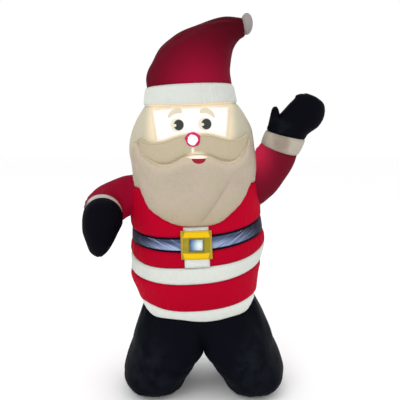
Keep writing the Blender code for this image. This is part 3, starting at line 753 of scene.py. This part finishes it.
def limb_cloth(stations, ends, steps, closed_end=False):
    """Loft along part of a limb's stations."""
    cloth = Cloth()
    rings = []
    lengths = [0.0]
    centres = []
    for step in range(steps + 1):
        centre = limb_frame(smooth(stations, ends[0] + (ends[1] - ends[0]) * step / steps))[0]
        if centres:
            lengths.append(lengths[-1] + (centre - centres[-1]).length)
        centres.append(centre)
    for step in range(steps + 1):
        share = step / steps
        station = smooth(stations, ends[0] + (ends[1] - ends[0]) * share)
        centre, sideways, upwards, side, up = limb_frame(station)
        off = lengths[step]
        if not closed_end:
            off = min(off, lengths[-1] - off)
        ring = []
        for turn in whole_turn(LIMB_AROUND):
            point = centre + sideways * side * sin(turn) + upwards * up * cos(turn)
            ring.append(cloth.add(point, turn, LIMB_RADIUS, off, share))
        rings.append(ring)
    cloth.add_skin(rings)
    return cloth


def make_arms():
    """Sleeves, cuffs and mittens."""
    for side, stations, cuff_swell, mitten_swell, seed in ARMS:
        sleeve = limb_cloth(stations, SLEEVE, SLEEVE_STEPS)
        sleeve.make(side + "_sleeve", MATERIALS[side + "_sleeve"], "red_cloth", 0.002, seed)
        cuff = limb_cloth(stations, CUFF, CUFF_STEPS)
        cuff.make(side + "_cuff", MATERIALS[side + "_cuff"], "white_cloth", cuff_swell, seed + 2)
        mitten = limb_cloth(stations, MITTEN, MITTEN_STEPS, closed_end=True)
        mitten.make(side + "_mitten", MATERIALS["black"], "black_cloth", mitten_swell, seed + 4)
        if side == "left":
            thumb = limb_cloth(LEFT_THUMB, THUMB, THUMB_STEPS, closed_end=True)
            piece = thumb.make("left_mitten", MATERIALS["black"], "black_cloth", 0.0, seed + 6)
            piece.name = "shown_thumb"


def hat_dent(point):
    """Pull of the dent in the hat's side."""
    reach = (point - HAT_DENT) / HAT_DENT_REACH
    return -HAT_DENT_DEPTH * exp(-reach.length_squared)


def make_hat():
    """Hat that flops over to the figure's left, and its pompom."""
    turns = whole_turn(TROUSERS_AROUND)
    controls = [[column_point(turn, BRIM_TOP[0]) for turn in turns]]
    for left_x, left_z, right_x, right_z, depth in HAT:
        middle = Vector(((left_x + right_x) / 2, 0.0, (left_z + right_z) / 2))
        half = Vector(((right_x - left_x) / 2, 0.0, (right_z - left_z) / 2))
        ring = []
        for turn in turns:
            ring.append(middle + half * sin(turn) - Vector((0.0, depth * cos(turn), 0.0)))
        controls.append(ring)
    left_x, left_z, right_x, right_z, _ = HAT[-1]
    outwards = Vector((left_z - right_z, 0.0, right_x - left_x)).normalized()
    tip = Vector(((left_x + right_x) / 2, 0.0, (left_z + right_z) / 2))
    end = controls[-1]
    for bulge, share in HAT_END:
        controls.append([tip + outwards * bulge + (point - tip) * share for point in end])

    cloth = Cloth()
    last = len(controls) - 1
    tables = []
    for k in range(TROUSERS_AROUND):
        tables.append([(level, *controls[level][k]) for level in range(last + 1)])
    rings = []
    for step in range(HAT_STEPS + 1):
        share = step / HAT_STEPS
        ring = []
        for turn, table, start in zip(turns, tables, controls[0]):
            point = Vector(smooth(table, last * step / HAT_STEPS))
            ring.append(cloth.add(point, turn, HAT_RADIUS, (point - start).length, share))
        rings.append(ring)
    cloth.add_skin(rings)
    cloth.make("hat", MATERIALS["hat"], "red_cloth", 0.002, 40.0, hat_dent, HAT_FOLDS)

    ball = Cloth()
    work = bmesh.new()
    bmesh.ops.create_icosphere(work, subdivisions=5, radius=1.0)
    for vertex in work.verts:
        reach = Vector(vertex.co[k] * POMPOM_RADII[k] for k in range(3))
        point = Vector(POMPOM_CENTRE) + reach
        room = (point - tip).dot(outwards)
        ball.add(point - outwards * min(room, 0.0), 0.0, 0.0, POMPOM_OFF, 0.5)
    ball.faces = [tuple(vertex.index for vertex in face.verts) for face in work.faces]
    work.free()
    ball.make("pompom", MATERIALS["pompom"], "grey_cloth", 0.0, 45.0)


def patch_cloth(place, size, base, bulge, kept=None):
    """Pillow on the column's front: place gives the turn and height at a share across and up."""
    columns = max(8, ceil(size[0] / CELL))
    rows = max(6, ceil(size[1] / CELL))
    if kept is not None:
        columns = columns // BUCKLE_PARTS * BUCKLE_PARTS
        rows = rows // BUCKLE_PARTS * BUCKLE_PARTS
    cloth = Cloth()
    grid = []
    for layer in range(2):
        for j in range(rows + 1):
            for i in range(columns + 1):
                across = i / columns
                up = j / rows
                turn, height = place(across, up)
                out = base
                border = min(across, 1 - across) * size[0], min(up, 1 - up) * size[1]
                off = 0.0
                if layer:
                    dome = 1 - (2 * across - 1) ** PATCH_SQUARENESS
                    dome *= 1 - (2 * up - 1) ** PATCH_SQUARENESS
                    out += PATCH_EDGE + bulge * max(dome, 0.0) ** PATCH_FULLNESS
                    off = min(border)
                angle = 2 * pi * across if border[1] < border[0] else 2 * pi * up
                grid.append((column_point(turn, height, out), angle, size[0] / 6, off, up))
    layer_size = (rows + 1) * (columns + 1)
    cells = set()
    for j in range(rows):
        for i in range(columns):
            if kept is None or kept((i + 0.5) / columns, (j + 0.5) / rows):
                cells.add((i, j))
    faces = []
    for i, j in sorted(cells):
        corners = [j * (columns + 1) + i, j * (columns + 1) + i + 1]
        corners += [(j + 1) * (columns + 1) + i + 1, (j + 1) * (columns + 1) + i]
        faces.append(tuple(corners))
        faces.append(tuple(corner + layer_size for corner in reversed(corners)))
        beside = [(i, j - 1), (i + 1, j), (i, j + 1), (i - 1, j)]
        for side, neighbour in enumerate(beside):
            if neighbour not in cells:
                start = corners[side]
                end = corners[(side + 1) % 4]
                faces.append((start, end, end + layer_size, start + layer_size))
    used = sorted({corner for face in faces for corner in face})
    renumbered = {corner: cloth.add(*grid[corner]) for corner in used}
    cloth.faces = [tuple(renumbered[corner] for corner in face) for face in faces]
    return cloth


def mirrored_edge(rows, angle):
    """Height of an edge that is the same on both sides of the moustache's middle, angle in degrees."""
    return smooth(rows, abs(angle - MOUSTACHE_MIDDLE))[0]


def face_place(across, up):
    """Turn and height on the face panel."""
    low, high = FACE_HEIGHTS
    edge = turn_at(FACE_MIDDLE + FACE_HALF_WIDTHS[0] * (2 * across - 1), low)
    low = mirrored_edge(MOUSTACHE_TOP, degrees(edge)) + PATCH_GAP
    height = low + (high - low) * up
    half = FACE_HALF_WIDTHS[0] + (FACE_HALF_WIDTHS[1] - FACE_HALF_WIDTHS[0]) * up
    return turn_at(FACE_MIDDLE + half * (2 * across - 1), height), height


def moustache_place(across, up):
    """Turn and height on the moustache."""
    angle = MOUSTACHE_MIDDLE + MOUSTACHE_SIDE * (2 * across - 1)
    low = mirrored_edge(MOUSTACHE_BOTTOM, angle)
    high = mirrored_edge(MOUSTACHE_TOP, angle)
    return radians(angle), low + (high - low) * up


def beard_place(across, up):
    """Turn and height on the beard."""
    angle = BEARD_SIDE * (2 * across - 1)
    low = smooth(BEARD_EDGE, angle)[0]
    high = BEARD_TOP_AT_SIDE
    if abs(angle - MOUSTACHE_MIDDLE) < MOUSTACHE_SIDE:
        high = min(high, mirrored_edge(MOUSTACHE_BOTTOM, angle) - PATCH_GAP)
    return radians(angle), low + (high - low) * up


def make_face():
    """Face panel, beard, moustache and nose."""
    beard = patch_cloth(beard_place, BEARD_SIZE, PATCH_BASE, BEARD_BULGE)
    beard.make("beard", MATERIALS["beard"], "hair_cloth", 0.0, 60.0)
    face = patch_cloth(face_place, FACE_SIZE, PATCH_BASE, FACE_BULGE)
    face.make("face", MATERIALS["face"], "face_cloth", 0.0, 61.0)
    moustache = patch_cloth(moustache_place, MOUSTACHE_SIZE, PATCH_BASE, MOUSTACHE_BULGE)
    moustache.make("moustache", MATERIALS["moustache"], "moustache_cloth", 0.0, 62.0)

    seat = column_point(turn_at(NOSE_MIDDLE, NOSE_HEIGHT), NOSE_HEIGHT, PATCH_BASE)
    nose = Cloth()
    rings = []
    for step in range(-1, NOSE_STEPS + 1):
        share = max(step, 0) / NOSE_STEPS
        radius = NOSE_RADIUS * cos(share * pi / 2 * NOSE_END)
        depth = NOSE_WALL + NOSE_DEPTH * sin(share * pi / 2) if step >= 0 else 0.0
        ring = []
        for turn in whole_turn(NOSE_AROUND):
            point = seat + Vector((radius * sin(turn), -depth, radius * cos(turn)))
            ring.append(nose.add(point, turn, NOSE_RADIUS, depth, share))
        rings.append(ring)
    nose.add_skin(rings)
    nose.make("nose", MATERIALS["nose"], "nose_cloth", 0.0, 63.0)


def strip_cloth(low, high):
    """White strip down the coat's front, between two heights."""

    def place(across, up):
        height = low + (high - low) * up
        return turn_at(FRONT_MIDDLE + STRIP_HALF_WIDTH * (2 * across - 1), height), height

    return patch_cloth(place, (2 * STRIP_HALF_WIDTH, high - low), PATCH_BASE, STRIP_THICKNESS)


def bar_edge(share, side):
    """Distance from the buckle's middle: a third of the cells on each bar and a third on the hole."""
    hole = BUCKLE_HOLE_HALF[side]
    step = BUCKLE_PARTS * (share - 0.5)
    if abs(step) <= 1:
        return step * hole
    return copysign(hole + (BUCKLE_HALF[side] - hole) * (abs(step) - 1) / 2, step)


def buckle_place(across, up):
    """Turn and height on the buckle."""
    x = bar_edge(across, 0)
    height = BUCKLE_HEIGHT + bar_edge(up, 1) + BUCKLE_SLOPE * x
    return turn_at(FRONT_MIDDLE + x, height), height


def outside_hole(across, up):
    """Whether a place on the buckle lies on its frame."""
    return not (1 / 3 < across < 2 / 3 and 1 / 3 < up < 2 / 3)


def make_front():
    """White strips down the front, and the buckle over the belt."""
    beard_point = min(height for _, height in BEARD_EDGE)
    top = strip_cloth(seam_height(BELT_TOP, 0) + PATCH_GAP, beard_point - PATCH_GAP)
    top.make("placket_top", MATERIALS["fleece"], "white_cloth", 0.0, 70.0)
    below = seam_height(BAND_TOP, 0) + PATCH_GAP
    bottom = strip_cloth(below, seam_height(BELT_BOTTOM, 0) - PATCH_GAP)
    bottom.make("placket_bottom", MATERIALS["fleece"], "white_cloth", 0.0, 71.0)
    size = (2 * BUCKLE_HALF[0], 2 * BUCKLE_HALF[1])
    buckle = patch_cloth(buckle_place, size, PATCH_BASE + BUCKLE_OUT, BUCKLE_THICKNESS, outside_hole)
    buckle.make("buckle", MATERIALS["buckle"], "buckle_cloth", 0.0, 72.0)


class Value:
    """Output of a node, for sums and products with numbers and with other outputs."""

    def __init__(self, recipe, socket):
        self.recipe = recipe
        self.socket = socket

    def __add__(self, other):
        return self.recipe.math("ADD", self, other)

    def __sub__(self, other):
        return self.recipe.math("SUBTRACT", self, other)

    def __rsub__(self, other):
        return self.recipe.math("SUBTRACT", other, self)

    def __mul__(self, other):
        return self.recipe.math("MULTIPLY", self, other)

    def __truediv__(self, other):
        return self.recipe.math("DIVIDE", self, other)

    def __abs__(self):
        return self.recipe.math("ABSOLUTE", self)


class Recipe:
    """Nodes of one material, with short names for the ones that are used most."""

    def __init__(self, name, surface):
        roughness, bending, self.pitch, self.nap = surface
        self.material = bpy.data.materials.new(name)
        self.material.use_nodes = True
        self.tree = self.material.node_tree
        self.shader = self.tree.nodes["Principled BSDF"]
        self.shader.inputs["Roughness"].default_value = roughness
        self.shader.inputs["IOR"].default_value = bending
        self.place = Value(self, self.tree.nodes.new("ShaderNodeTexCoord").outputs["Object"])
        self.x, self.y, self.z = self.split(self.place)
        sewn = self.tree.nodes.new("ShaderNodeAttribute")
        sewn.attribute_name = "sewn"
        self.along, self.off, self.share = self.split(Value(self, sewn.outputs["Vector"]))

    def feed(self, socket, value):
        """Link or set an input."""
        if isinstance(value, Value):
            self.tree.links.new(value.socket, socket)
        elif isinstance(value, tuple):
            socket.default_value = (*value, 1.0)
        else:
            socket.default_value = value

    def node(self, kind, values, **settings):
        """New node with its settings and its first inputs."""
        node = self.tree.nodes.new("ShaderNode" + kind)
        for setting, choice in settings.items():
            setattr(node, setting, choice)
        for socket, value in zip(node.inputs, values):
            self.feed(socket, value)
        return node

    def split(self, vector):
        """Three values of a vector."""
        return [Value(self, part) for part in self.node("SeparateXYZ", (vector,)).outputs]

    def math(self, operation, *values):
        """Math node on one to three values."""
        return Value(self, self.node("Math", values, operation=operation).outputs[0])

    def ramp(self, value, start, end):
        """Smooth step from 0 at start to 1 at end."""
        node = self.node("MapRange", (value, start, end), interpolation_type="SMOOTHSTEP")
        return Value(self, node.outputs[0])

    def mix(self, share, first, second):
        """Colour between two colours."""
        node = self.node("Mix", (share,), data_type="RGBA")
        self.feed(node.inputs[6], first)
        self.feed(node.inputs[7], second)
        return Value(self, node.outputs[2])

    def noise(self, scale, detail=3.0, vector=None):
        """Cloudy value between 0 and 1."""
        node = self.node("TexNoise", (self.place if vector is None else vector,))
        node.inputs["Scale"].default_value = scale
        node.inputs["Detail"].default_value = detail
        return Value(self, node.outputs[0])

    def spot(self, centre, radii):
        """Distance from a place on the front, in radii."""
        x = (self.x - (centre[0] - MIDDLE_X)) / radii[0]
        z = (self.z - centre[1]) / radii[1]
        return self.math("SQRT", x * x + z * z)

    def bump(self, heights):
        """Bump from pairs of a height between 0 and 1 and its depth in metres."""
        below = None
        for height, depth in heights:
            node = self.tree.nodes.new("ShaderNodeBump")
            node.inputs["Distance"].default_value = depth
            self.feed(node.inputs["Height"], height)
            if below is not None:
                self.tree.links.new(below, node.inputs["Normal"])
            below = node.outputs[0]
        self.tree.links.new(below, self.shader.inputs["Normal"])

    def weave(self):
        """Threads over and under, as a height between 0 and 1."""
        turn = 2 * pi / self.pitch
        across = self.math("SINE", (self.x + self.y) * turn)
        up = self.math("SINE", self.z * turn)
        return across * up * 0.5 + 0.5

    def stitches(self):
        """Row of stitches beside the seam, as a share between 0 and 1."""
        row = self.ramp(abs(self.off - STITCH_OFF), STITCH_WIDTH, STITCH_WIDTH * STITCH_CORE)
        dash = self.math("FRACT", self.along / STITCH_PITCH)
        return row * self.math("LESS_THAN", dash, STITCH_SHARE)

    def finish(self, colour, glow=None, crease_shade_depth=CREASE_SHADE_DEPTH):
        """Paint shade into the creases at the seams, sew the cloth, give it its weave and light it from
        inside.
        """
        stitches = self.stitches()
        shade = self.noise(CLOUD_SCALE, 4.0) * CLOUD_DEPTH + (1 - CLOUD_DEPTH / 2)
        # painted shade in the creases beside the seams
        shade *= self.ramp(self.off, 0.0, CREASE_SHADE_WIDTH) * crease_shade_depth + (1 - crease_shade_depth)
        shade *= stitches * -STITCH_SHADE + 1.0
        shade *= self.noise(GRAIN_SCALE, 2.0) * GRAIN_DEPTH + (1 - GRAIN_DEPTH / 2)
        shaded = self.mix(shade, NO_LIGHT, colour)
        self.feed(self.shader.inputs["Base Color"], shaded)
        heights = [(self.noise(WRINKLE_SCALE), WRINKLE_DEPTH)]
        heights.append((self.weave(), self.pitch * WEAVE_DEPTH))
        heights.append((self.noise(NAP_SCALE, 2.0), self.nap))
        heights.append((stitches, STITCH_DEPTH))
        self.bump(heights)
        if glow is not None:
            self.feed(self.shader.inputs["Emission Color"], shaded)
            self.feed(self.shader.inputs["Emission Strength"], glow)
        return self.material


def lamp_glow(recipe, lamp, strength):
    """Strength of the light that comes through the cloth in front of and behind a lamp."""
    distance = recipe.spot(*lamp)
    return recipe.math("EXPONENT", distance * distance * -1.0) * strength


def plain_cloth(name, colour, surface, glow=None):
    """Dyed cloth, with an even glow or with a lamp's glow of (lamp, strength)."""
    recipe = Recipe(name, surface)
    lit = lamp_glow(recipe, *glow) if isinstance(glow, tuple) else glow
    return recipe.finish(colour, lit)


def cuff_cloth(name, shade_place, pale, shade_colour):
    """Pale fur cloth of a cuff, with painted shade at one place."""
    recipe = Recipe(name, FUR)
    distance = recipe.spot(*shade_place) + (recipe.noise(CUFF_SHADE_SCALE) - 0.5)
    return recipe.finish(recipe.mix(recipe.ramp(distance, *CUFF_SHADE_FADE), pale, shade_colour))


def black_cloth(name, colour, lights):
    """Black cloth with soft bluish painted highlights at the given places."""
    recipe = Recipe(name, BLACK_NYLON)
    highlight = 0.0
    for spot in lights:
        highlight = recipe.math("MAXIMUM", highlight, recipe.ramp(recipe.spot(*spot), *HIGHLIGHT_FADE))
    highlight *= recipe.ramp(recipe.noise(HIGHLIGHT_SCALE), *HIGHLIGHT_CLOUDS)
    return recipe.finish(recipe.mix(highlight, colour, BLACK_HIGHLIGHT))


def belt_cloth():
    """Printed shiny belt: steel blue that fades to navy at the sides, scribbled lights, black edges; in
    the buckle's hole, a painted glow from blue to white with a painted shadow under the buckle's upper
    bar.
    """
    recipe = Recipe("belt", BELT_SATIN)
    across = recipe.x - (BUCKLE_X - MIDDLE_X)
    side = abs(across)
    near = recipe.ramp(side, *BELT_FADE)
    colour = recipe.mix(near, BELT_SIDE, BELT_MIDDLE)
    colour = recipe.mix(recipe.ramp(recipe.share, *BELT_SHINE_FADE) * near, colour, BELT_SHINE)
    slant = side * SCRIBBLE_SLANT + recipe.share * SCRIBBLE_CLIMB
    stretched = (recipe.along * SCRIBBLE_STRETCH[0], slant * SCRIBBLE_STRETCH[1], 0.0)
    scribble = Value(recipe, recipe.node("CombineXYZ", stretched).outputs[0])
    light = recipe.ramp(recipe.noise(LIGHT_SCRIBBLE_SCALE, 2.0, scribble), *LIGHT_SCRIBBLE_FADE)
    dark = recipe.ramp(recipe.noise(DARK_SCRIBBLE_SCALE, 2.0, scribble), *DARK_SCRIBBLE_FADE)
    light *= recipe.ramp(side, *SCRIBBLE_FADE)
    colour = recipe.mix(light * LIGHT_SCRIBBLE_SHARE, colour, BELT_LIGHT)
    colour = recipe.mix(dark * DARK_SCRIBBLE_SHARE, colour, BELT_SIDE)
    edge = recipe.math("MINIMUM", recipe.share, 1.0 - recipe.share)
    colour = recipe.mix(recipe.ramp(edge, *PIPING_FADE), colour, PIPING)
    # Painted glow from the lamp behind, blue to white across the buckle's hole, and painted shadow at its
    # top under the upper bar
    hole = recipe.mix(recipe.ramp(across, *HOLE_GLOW_FADE), HOLE_GLOW_BLUE, HOLE_GLOW_WHITE)
    hole = recipe.mix(recipe.ramp(recipe.share, *HOLE_SHADE_FADE), HOLE_SHADE, hole)
    inside = recipe.ramp(side, *HOLE_EDGE) * recipe.ramp(recipe.y, *HOLE_FRONT)
    return recipe.finish(recipe.mix(inside, colour, hole), lamp_glow(recipe, BELLY_LAMP, BELT_GLOW))


def buckle_cloth():
    """Printed buckle: yellow bars above and below, olive bars at the sides."""
    recipe = Recipe("buckle", BUCKLE_NYLON)
    across = recipe.x - (BUCKLE_X - MIDDLE_X)
    side = abs(across)
    up = abs(recipe.z - across * (LEAN + BUCKLE_SLOPE) - BUCKLE_Z)
    end = up * OLIVE_SLANT + side
    olive = recipe.math("MAXIMUM", recipe.ramp(up, *OLIVE_HEIGHT), recipe.ramp(end, *OLIVE_END))
    dim = recipe.mix(recipe.noise(OLIVE_SCALE, 2.0), OLIVE_DARK, OLIVE_PALE)
    colour = recipe.mix(olive, YELLOW, dim)
    inner = recipe.math("MAXIMUM", side - BUCKLE_HOLE_HALF[0], up - BUCKLE_HOLE_HALF[1])
    colour = recipe.mix(recipe.ramp(inner, *BUCKLE_SHADOW_FADE) * 0.6, colour, BUCKLE_SHADOW)
    colour = recipe.mix(recipe.ramp(inner, *BUCKLE_RIM_FADE) * 0.5, colour, BUCKLE_RIM)
    return recipe.finish(colour, lamp_glow(recipe, BELLY_LAMP, BUCKLE_GLOW), 0.25)


def face_cloth():
    """Glowing face panel with a warmer painted glow at its edges, and printed eyes and brows."""
    recipe = Recipe("face", FACE_NYLON)
    skin = recipe.mix(recipe.ramp(recipe.off, *FACE_EDGE_GLOW_FADE), FACE_EDGE_GLOW, FACE_WHITE)
    for x, z in EYES:
        halo = recipe.spot((x - HALO_SHIFT, z), (HALO_RADIUS, HALO_RADIUS))
        skin = recipe.mix(recipe.ramp(halo, *HALO_FADE) * HALO_SHARE, skin, EYE_HALO)
        pupil = recipe.ramp(recipe.spot((x, z), (EYE_RADIUS, EYE_HEIGHT)), *PRINT_EDGE)
        notch_place = (x - NOTCH_SHIFT[0], z - NOTCH_SHIFT[1])
        notch = recipe.spot(notch_place, (NOTCH_RADIUS, NOTCH_RADIUS))
        skin = recipe.mix(pupil * recipe.ramp(notch, *NOTCH_FADE), skin, PUPIL)
    for centre, radii, tilt in BROWS:
        x = recipe.x - (centre[0] - MIDDLE_X)
        z = recipe.z - centre[1] - x * tilt + x * x * BROW_BEND
        reach = recipe.math("POWER", abs(x / radii[0]), BROW_SQUARENESS)
        reach += recipe.math("POWER", abs(z / radii[1]), 2.0)
        skin = recipe.mix(recipe.ramp(reach, *BROW_FADE), skin, BROW)
    return recipe.finish(skin, FACE_GLOW, 0.15)


def nose_cloth():
    """Pink nose, so bright in its middle that it looks white."""
    recipe = Recipe("nose", NOSE_NYLON)
    distance = recipe.spot((NOSE_X, NOSE_Z), (NOSE_RADIUS, NOSE_RADIUS))
    ragged = distance + (recipe.noise(NOSE_SCALE) - 0.5) * NOSE_RAGGED
    middle = recipe.ramp(ragged, *NOSE_FADE)
    return recipe.finish(recipe.mix(middle, NOSE_PINK, NOSE_WHITE), middle * 0.9 + 0.05, 0.2)


def hair_cloth():
    """Grey-tan hair round the head, lit from inside beside the face panel."""
    recipe = Recipe("hair", HAIR_FUR)
    side = abs(recipe.x - (FACE_X - MIDDLE_X))
    beside = recipe.ramp(side, *HAIR_LIGHT_REACH)
    beside *= recipe.ramp(recipe.z, *HAIR_LIGHT_HEIGHT) * recipe.ramp(recipe.y, *HAIR_LIGHT_DEPTH)
    glow = beside * 0.22 + lamp_glow(recipe, HEAD_LAMP, HAIR_GLOW)
    return recipe.finish(recipe.mix(beside * 0.8, HAIR, HAIR_LIT), glow, 0.2)


def brim_cloth():
    """White fur cloth that is lit from inside where it meets the face."""
    recipe = Recipe("brim", FUR)
    low = recipe.ramp(recipe.share, *BRIM_LIGHT_SHARE) * recipe.ramp(recipe.y, *BRIM_LIGHT_DEPTH)
    return recipe.finish(recipe.mix(low * 0.8, FLEECE, BRIM_LIT), low * BRIM_GLOW, 0.15)


def beard_cloth(name, colour, pinkness, printed):
    """Beard or moustache, lit from the head, with the printed mouth or lip and the painted shade and glow
    about them.
    """
    recipe = Recipe(name, BEARD_FUR)
    blotch = recipe.ramp(recipe.noise(BLOTCH_SCALE, 4.0), *BLOTCH_FADE)
    colour = recipe.mix(blotch * pinkness, colour, BEARD_PINK)
    grain = recipe.noise(BEARD_GRAIN_SCALE, 2.0) * BEARD_GRAIN_DEPTH + (1 - BEARD_GRAIN_DEPTH / 2)
    # the marks' function also gives their painted glow, added here as extra emission
    painted, extra = printed(recipe, recipe.mix(grain, NO_LIGHT, colour))
    return recipe.finish(painted, lamp_glow(recipe, HEAD_LAMP, BEARD_GLOW) + extra, 0.18)


def mouth_print_shade_and_glow(recipe, colour):
    """Small red smile with a flat top under a pale lip, the painted shade of a fold that runs down the
    beard, and painted light along the beard's top.
    """
    colour = recipe.mix(recipe.ramp(recipe.z, *BEARD_LOW_FADE) * 0.7, colour, BEARD_LOW)
    # Painted shade of a fold: a dark crease line and a darker lee beside it
    rise = recipe.z - FOLD_Z
    beyond = recipe.x - (rise * (rise * -FOLD_BEND + FOLD_SLOPE) + (FOLD_X - MIDDLE_X))
    fade = recipe.ramp(recipe.z, *FOLD_TOP_FADE) * recipe.ramp(recipe.z, *FOLD_LOW_FADE)
    fold_crease_shade = recipe.ramp(abs(beyond), *FOLD_WIDTH)
    lee_shade = recipe.ramp(beyond, *FOLD_LEE_START) * recipe.ramp(beyond, *FOLD_LEE_REACH)
    dark = recipe.math("MAXIMUM", fold_crease_shade * 0.30, lee_shade * 0.16)
    colour = recipe.mix(dark * fade, colour, FOLD_SHADE)
    # Painted light: the beard is lighter and glows along its top under the moustache
    top = recipe.ramp(recipe.share, *BEARD_TOP_LIT_FADE)
    colour = recipe.mix(top * 0.5, colour, BEARD_TOP_LIT)
    lip = recipe.ramp(recipe.spot(*MOUTH_LIP), *LIP_FADE)
    colour = recipe.mix(lip, colour, LIP_PALE)
    mouth = recipe.ramp(recipe.spot((MOUTH_X, MOUTH_Z), MOUTH_RADII), *PRINT_EDGE)
    mouth *= recipe.ramp(recipe.z - MOUTH_Z, *MOUTH_TOP)
    colour = recipe.mix(mouth, colour, MOUTH_RED)
    rim = recipe.ramp(recipe.share, *RIM_SHARE) * recipe.ramp(recipe.z, *RIM_HEIGHT)
    rim *= lip * -RIM_GLOW + RIM_GLOW
    lit = recipe.math("MAXIMUM", top * 0.10 + rim, lip * 0.20)
    return colour, lit * (1.0 - mouth)


def pale_lip_and_glow(recipe, colour):
    """Pale cloth between the nose and the mouth, with painted glow on it and along the moustache's edge.
    """
    lip = recipe.ramp(recipe.spot(*MOUSTACHE_LIP), *MOUSTACHE_LIP_FADE)
    line = recipe.ramp(recipe.spot(*NOSE_LINE), *NOSE_LINE_FADE)
    pale = recipe.math("MAXIMUM", lip * 0.6, line * 0.7)
    edge = recipe.ramp(recipe.off, *MOUSTACHE_RIM) * MOUSTACHE_RIM_GLOW
    return recipe.mix(pale, colour, MOUSTACHE_PALE), pale * 0.2 + edge


MATERIALS = {
    # All red parts are one red cloth: their different base reds are painted shade, darkest on the hat and
    # the raised sleeve, and their lamps' glow is painted light
    "coat": plain_cloth("coat", (0.365, 0.0002, 0.0150), NYLON, (CHEST_LAMP, 0.42)),
    "skirt": plain_cloth("skirt", (0.435, 0.0002, 0.0175), NYLON),
    "left_sleeve": plain_cloth("left_sleeve", (0.140, 0.0045, 0.0155), NYLON, (RAISED_LAMP, 3.2)),
    "right_sleeve": plain_cloth("right_sleeve", (0.225, 0.002, 0.018), NYLON, (LOWERED_LAMP, 0.8)),
    "hat": plain_cloth("hat", (0.058, 0.0008, 0.0055), NYLON, (HAT_LAMP, 4.7)),
    "brim": brim_cloth(),
    "fleece": plain_cloth("fleece", FLEECE, FUR, (BELLY_LAMP, 0.08)),
    "hem": plain_cloth("hem", FLEECE, FUR, 0.18),
    # The cuffs are the fleece's white fur: their duller, tan colours and their dull places are painted
    # shade
    "left_cuff": cuff_cloth("left_cuff", LEFT_CUFF_SHADE, (0.460, 0.412, 0.352), (0.315, 0.262, 0.208)),
    "right_cuff": cuff_cloth("right_cuff", RIGHT_CUFF_SHADE, (0.50, 0.45, 0.42), (0.14, 0.115, 0.115)),
    "hair": hair_cloth(),
    "black": black_cloth("black", (0.0026, 0.0026, 0.0052), PALM_HIGHLIGHTS),
    "trousers": black_cloth("trousers", (0.0032, 0.0038, 0.0070), TOE_HIGHLIGHTS),
    "pompom": plain_cloth("pompom", (0.30, 0.275, 0.265), POMPOM_FUR),
    "belt": belt_cloth(),
    "buckle": buckle_cloth(),
    "face": face_cloth(),
    "nose": nose_cloth(),
    "beard": beard_cloth("beard", (0.455, 0.395, 0.300), 0.6, mouth_print_shade_and_glow),
    "moustache": beard_cloth("moustache", (0.475, 0.410, 0.285), 0.1, pale_lip_and_glow),
}


def make_stage():
    """Pale floor, soft light and the camera."""
    floor_mesh = bpy.data.meshes.new("floor")
    corners = []
    for x, y in ((-1, -1), (1, -1), (1, 1), (-1, 1)):
        corners.append((x * FLOOR_HALF, y * FLOOR_HALF, 0.0))
    floor_mesh.from_pydata(corners, [], [(0, 1, 2, 3)])
    floor = bpy.data.objects.new("floor", floor_mesh)
    bpy.context.scene.collection.objects.link(floor)
    ground = bpy.data.materials.new("floor")
    ground.use_nodes = True
    shader = ground.node_tree.nodes["Principled BSDF"]
    shader.inputs["Base Color"].default_value = (0.99, 0.99, 0.99, 1.0)
    shader.inputs["Roughness"].default_value = 0.9
    shader.inputs["Specular IOR Level"].default_value = 0.1
    floor_mesh.materials.append(ground)

    world = bpy.data.worlds.new("studio")
    world.use_nodes = True
    background = world.node_tree.nodes["Background"]
    background.inputs["Color"].default_value = (1.0, 1.0, 1.0, 1.0)
    background.inputs["Strength"].default_value = 1.0
    bpy.context.scene.world = world

    for name, place, energy, width in STUDIO_LAMPS:
        light = bpy.data.lights.new(name, "AREA")
        light.energy = energy
        light.size = width
        lamp = bpy.data.objects.new(name, light)
        lamp.location = place
        aim = LAMP_AIM - lamp.location
        lamp.rotation_euler = aim.to_track_quat("-Z", "Y").to_euler()
        bpy.context.scene.collection.objects.link(lamp)

    lens = bpy.data.cameras.new("camera")
    lens.lens = 45.0
    lens.sensor_width = 36.0
    camera = bpy.data.objects.new("camera", lens)
    camera.location = Vector(CAMERA_PLACE) - Vector((MIDDLE_X, MIDDLE_Y, 0.0))
    camera.rotation_euler = (radians(90 - CAMERA_DIP), 0.0, 0.0)
    bpy.context.scene.collection.objects.link(camera)
    bpy.context.scene.camera = camera
    bpy.context.scene.view_settings.view_transform = "Standard"


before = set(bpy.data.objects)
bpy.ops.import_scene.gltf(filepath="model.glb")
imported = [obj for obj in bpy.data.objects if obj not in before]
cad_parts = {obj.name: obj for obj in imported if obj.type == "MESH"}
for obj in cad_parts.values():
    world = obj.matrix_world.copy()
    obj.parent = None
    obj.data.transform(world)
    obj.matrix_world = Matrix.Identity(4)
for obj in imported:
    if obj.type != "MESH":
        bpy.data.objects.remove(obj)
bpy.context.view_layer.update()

make_stage()
make_column()
make_trousers()
make_arms()
make_hat()
make_face()
make_front()
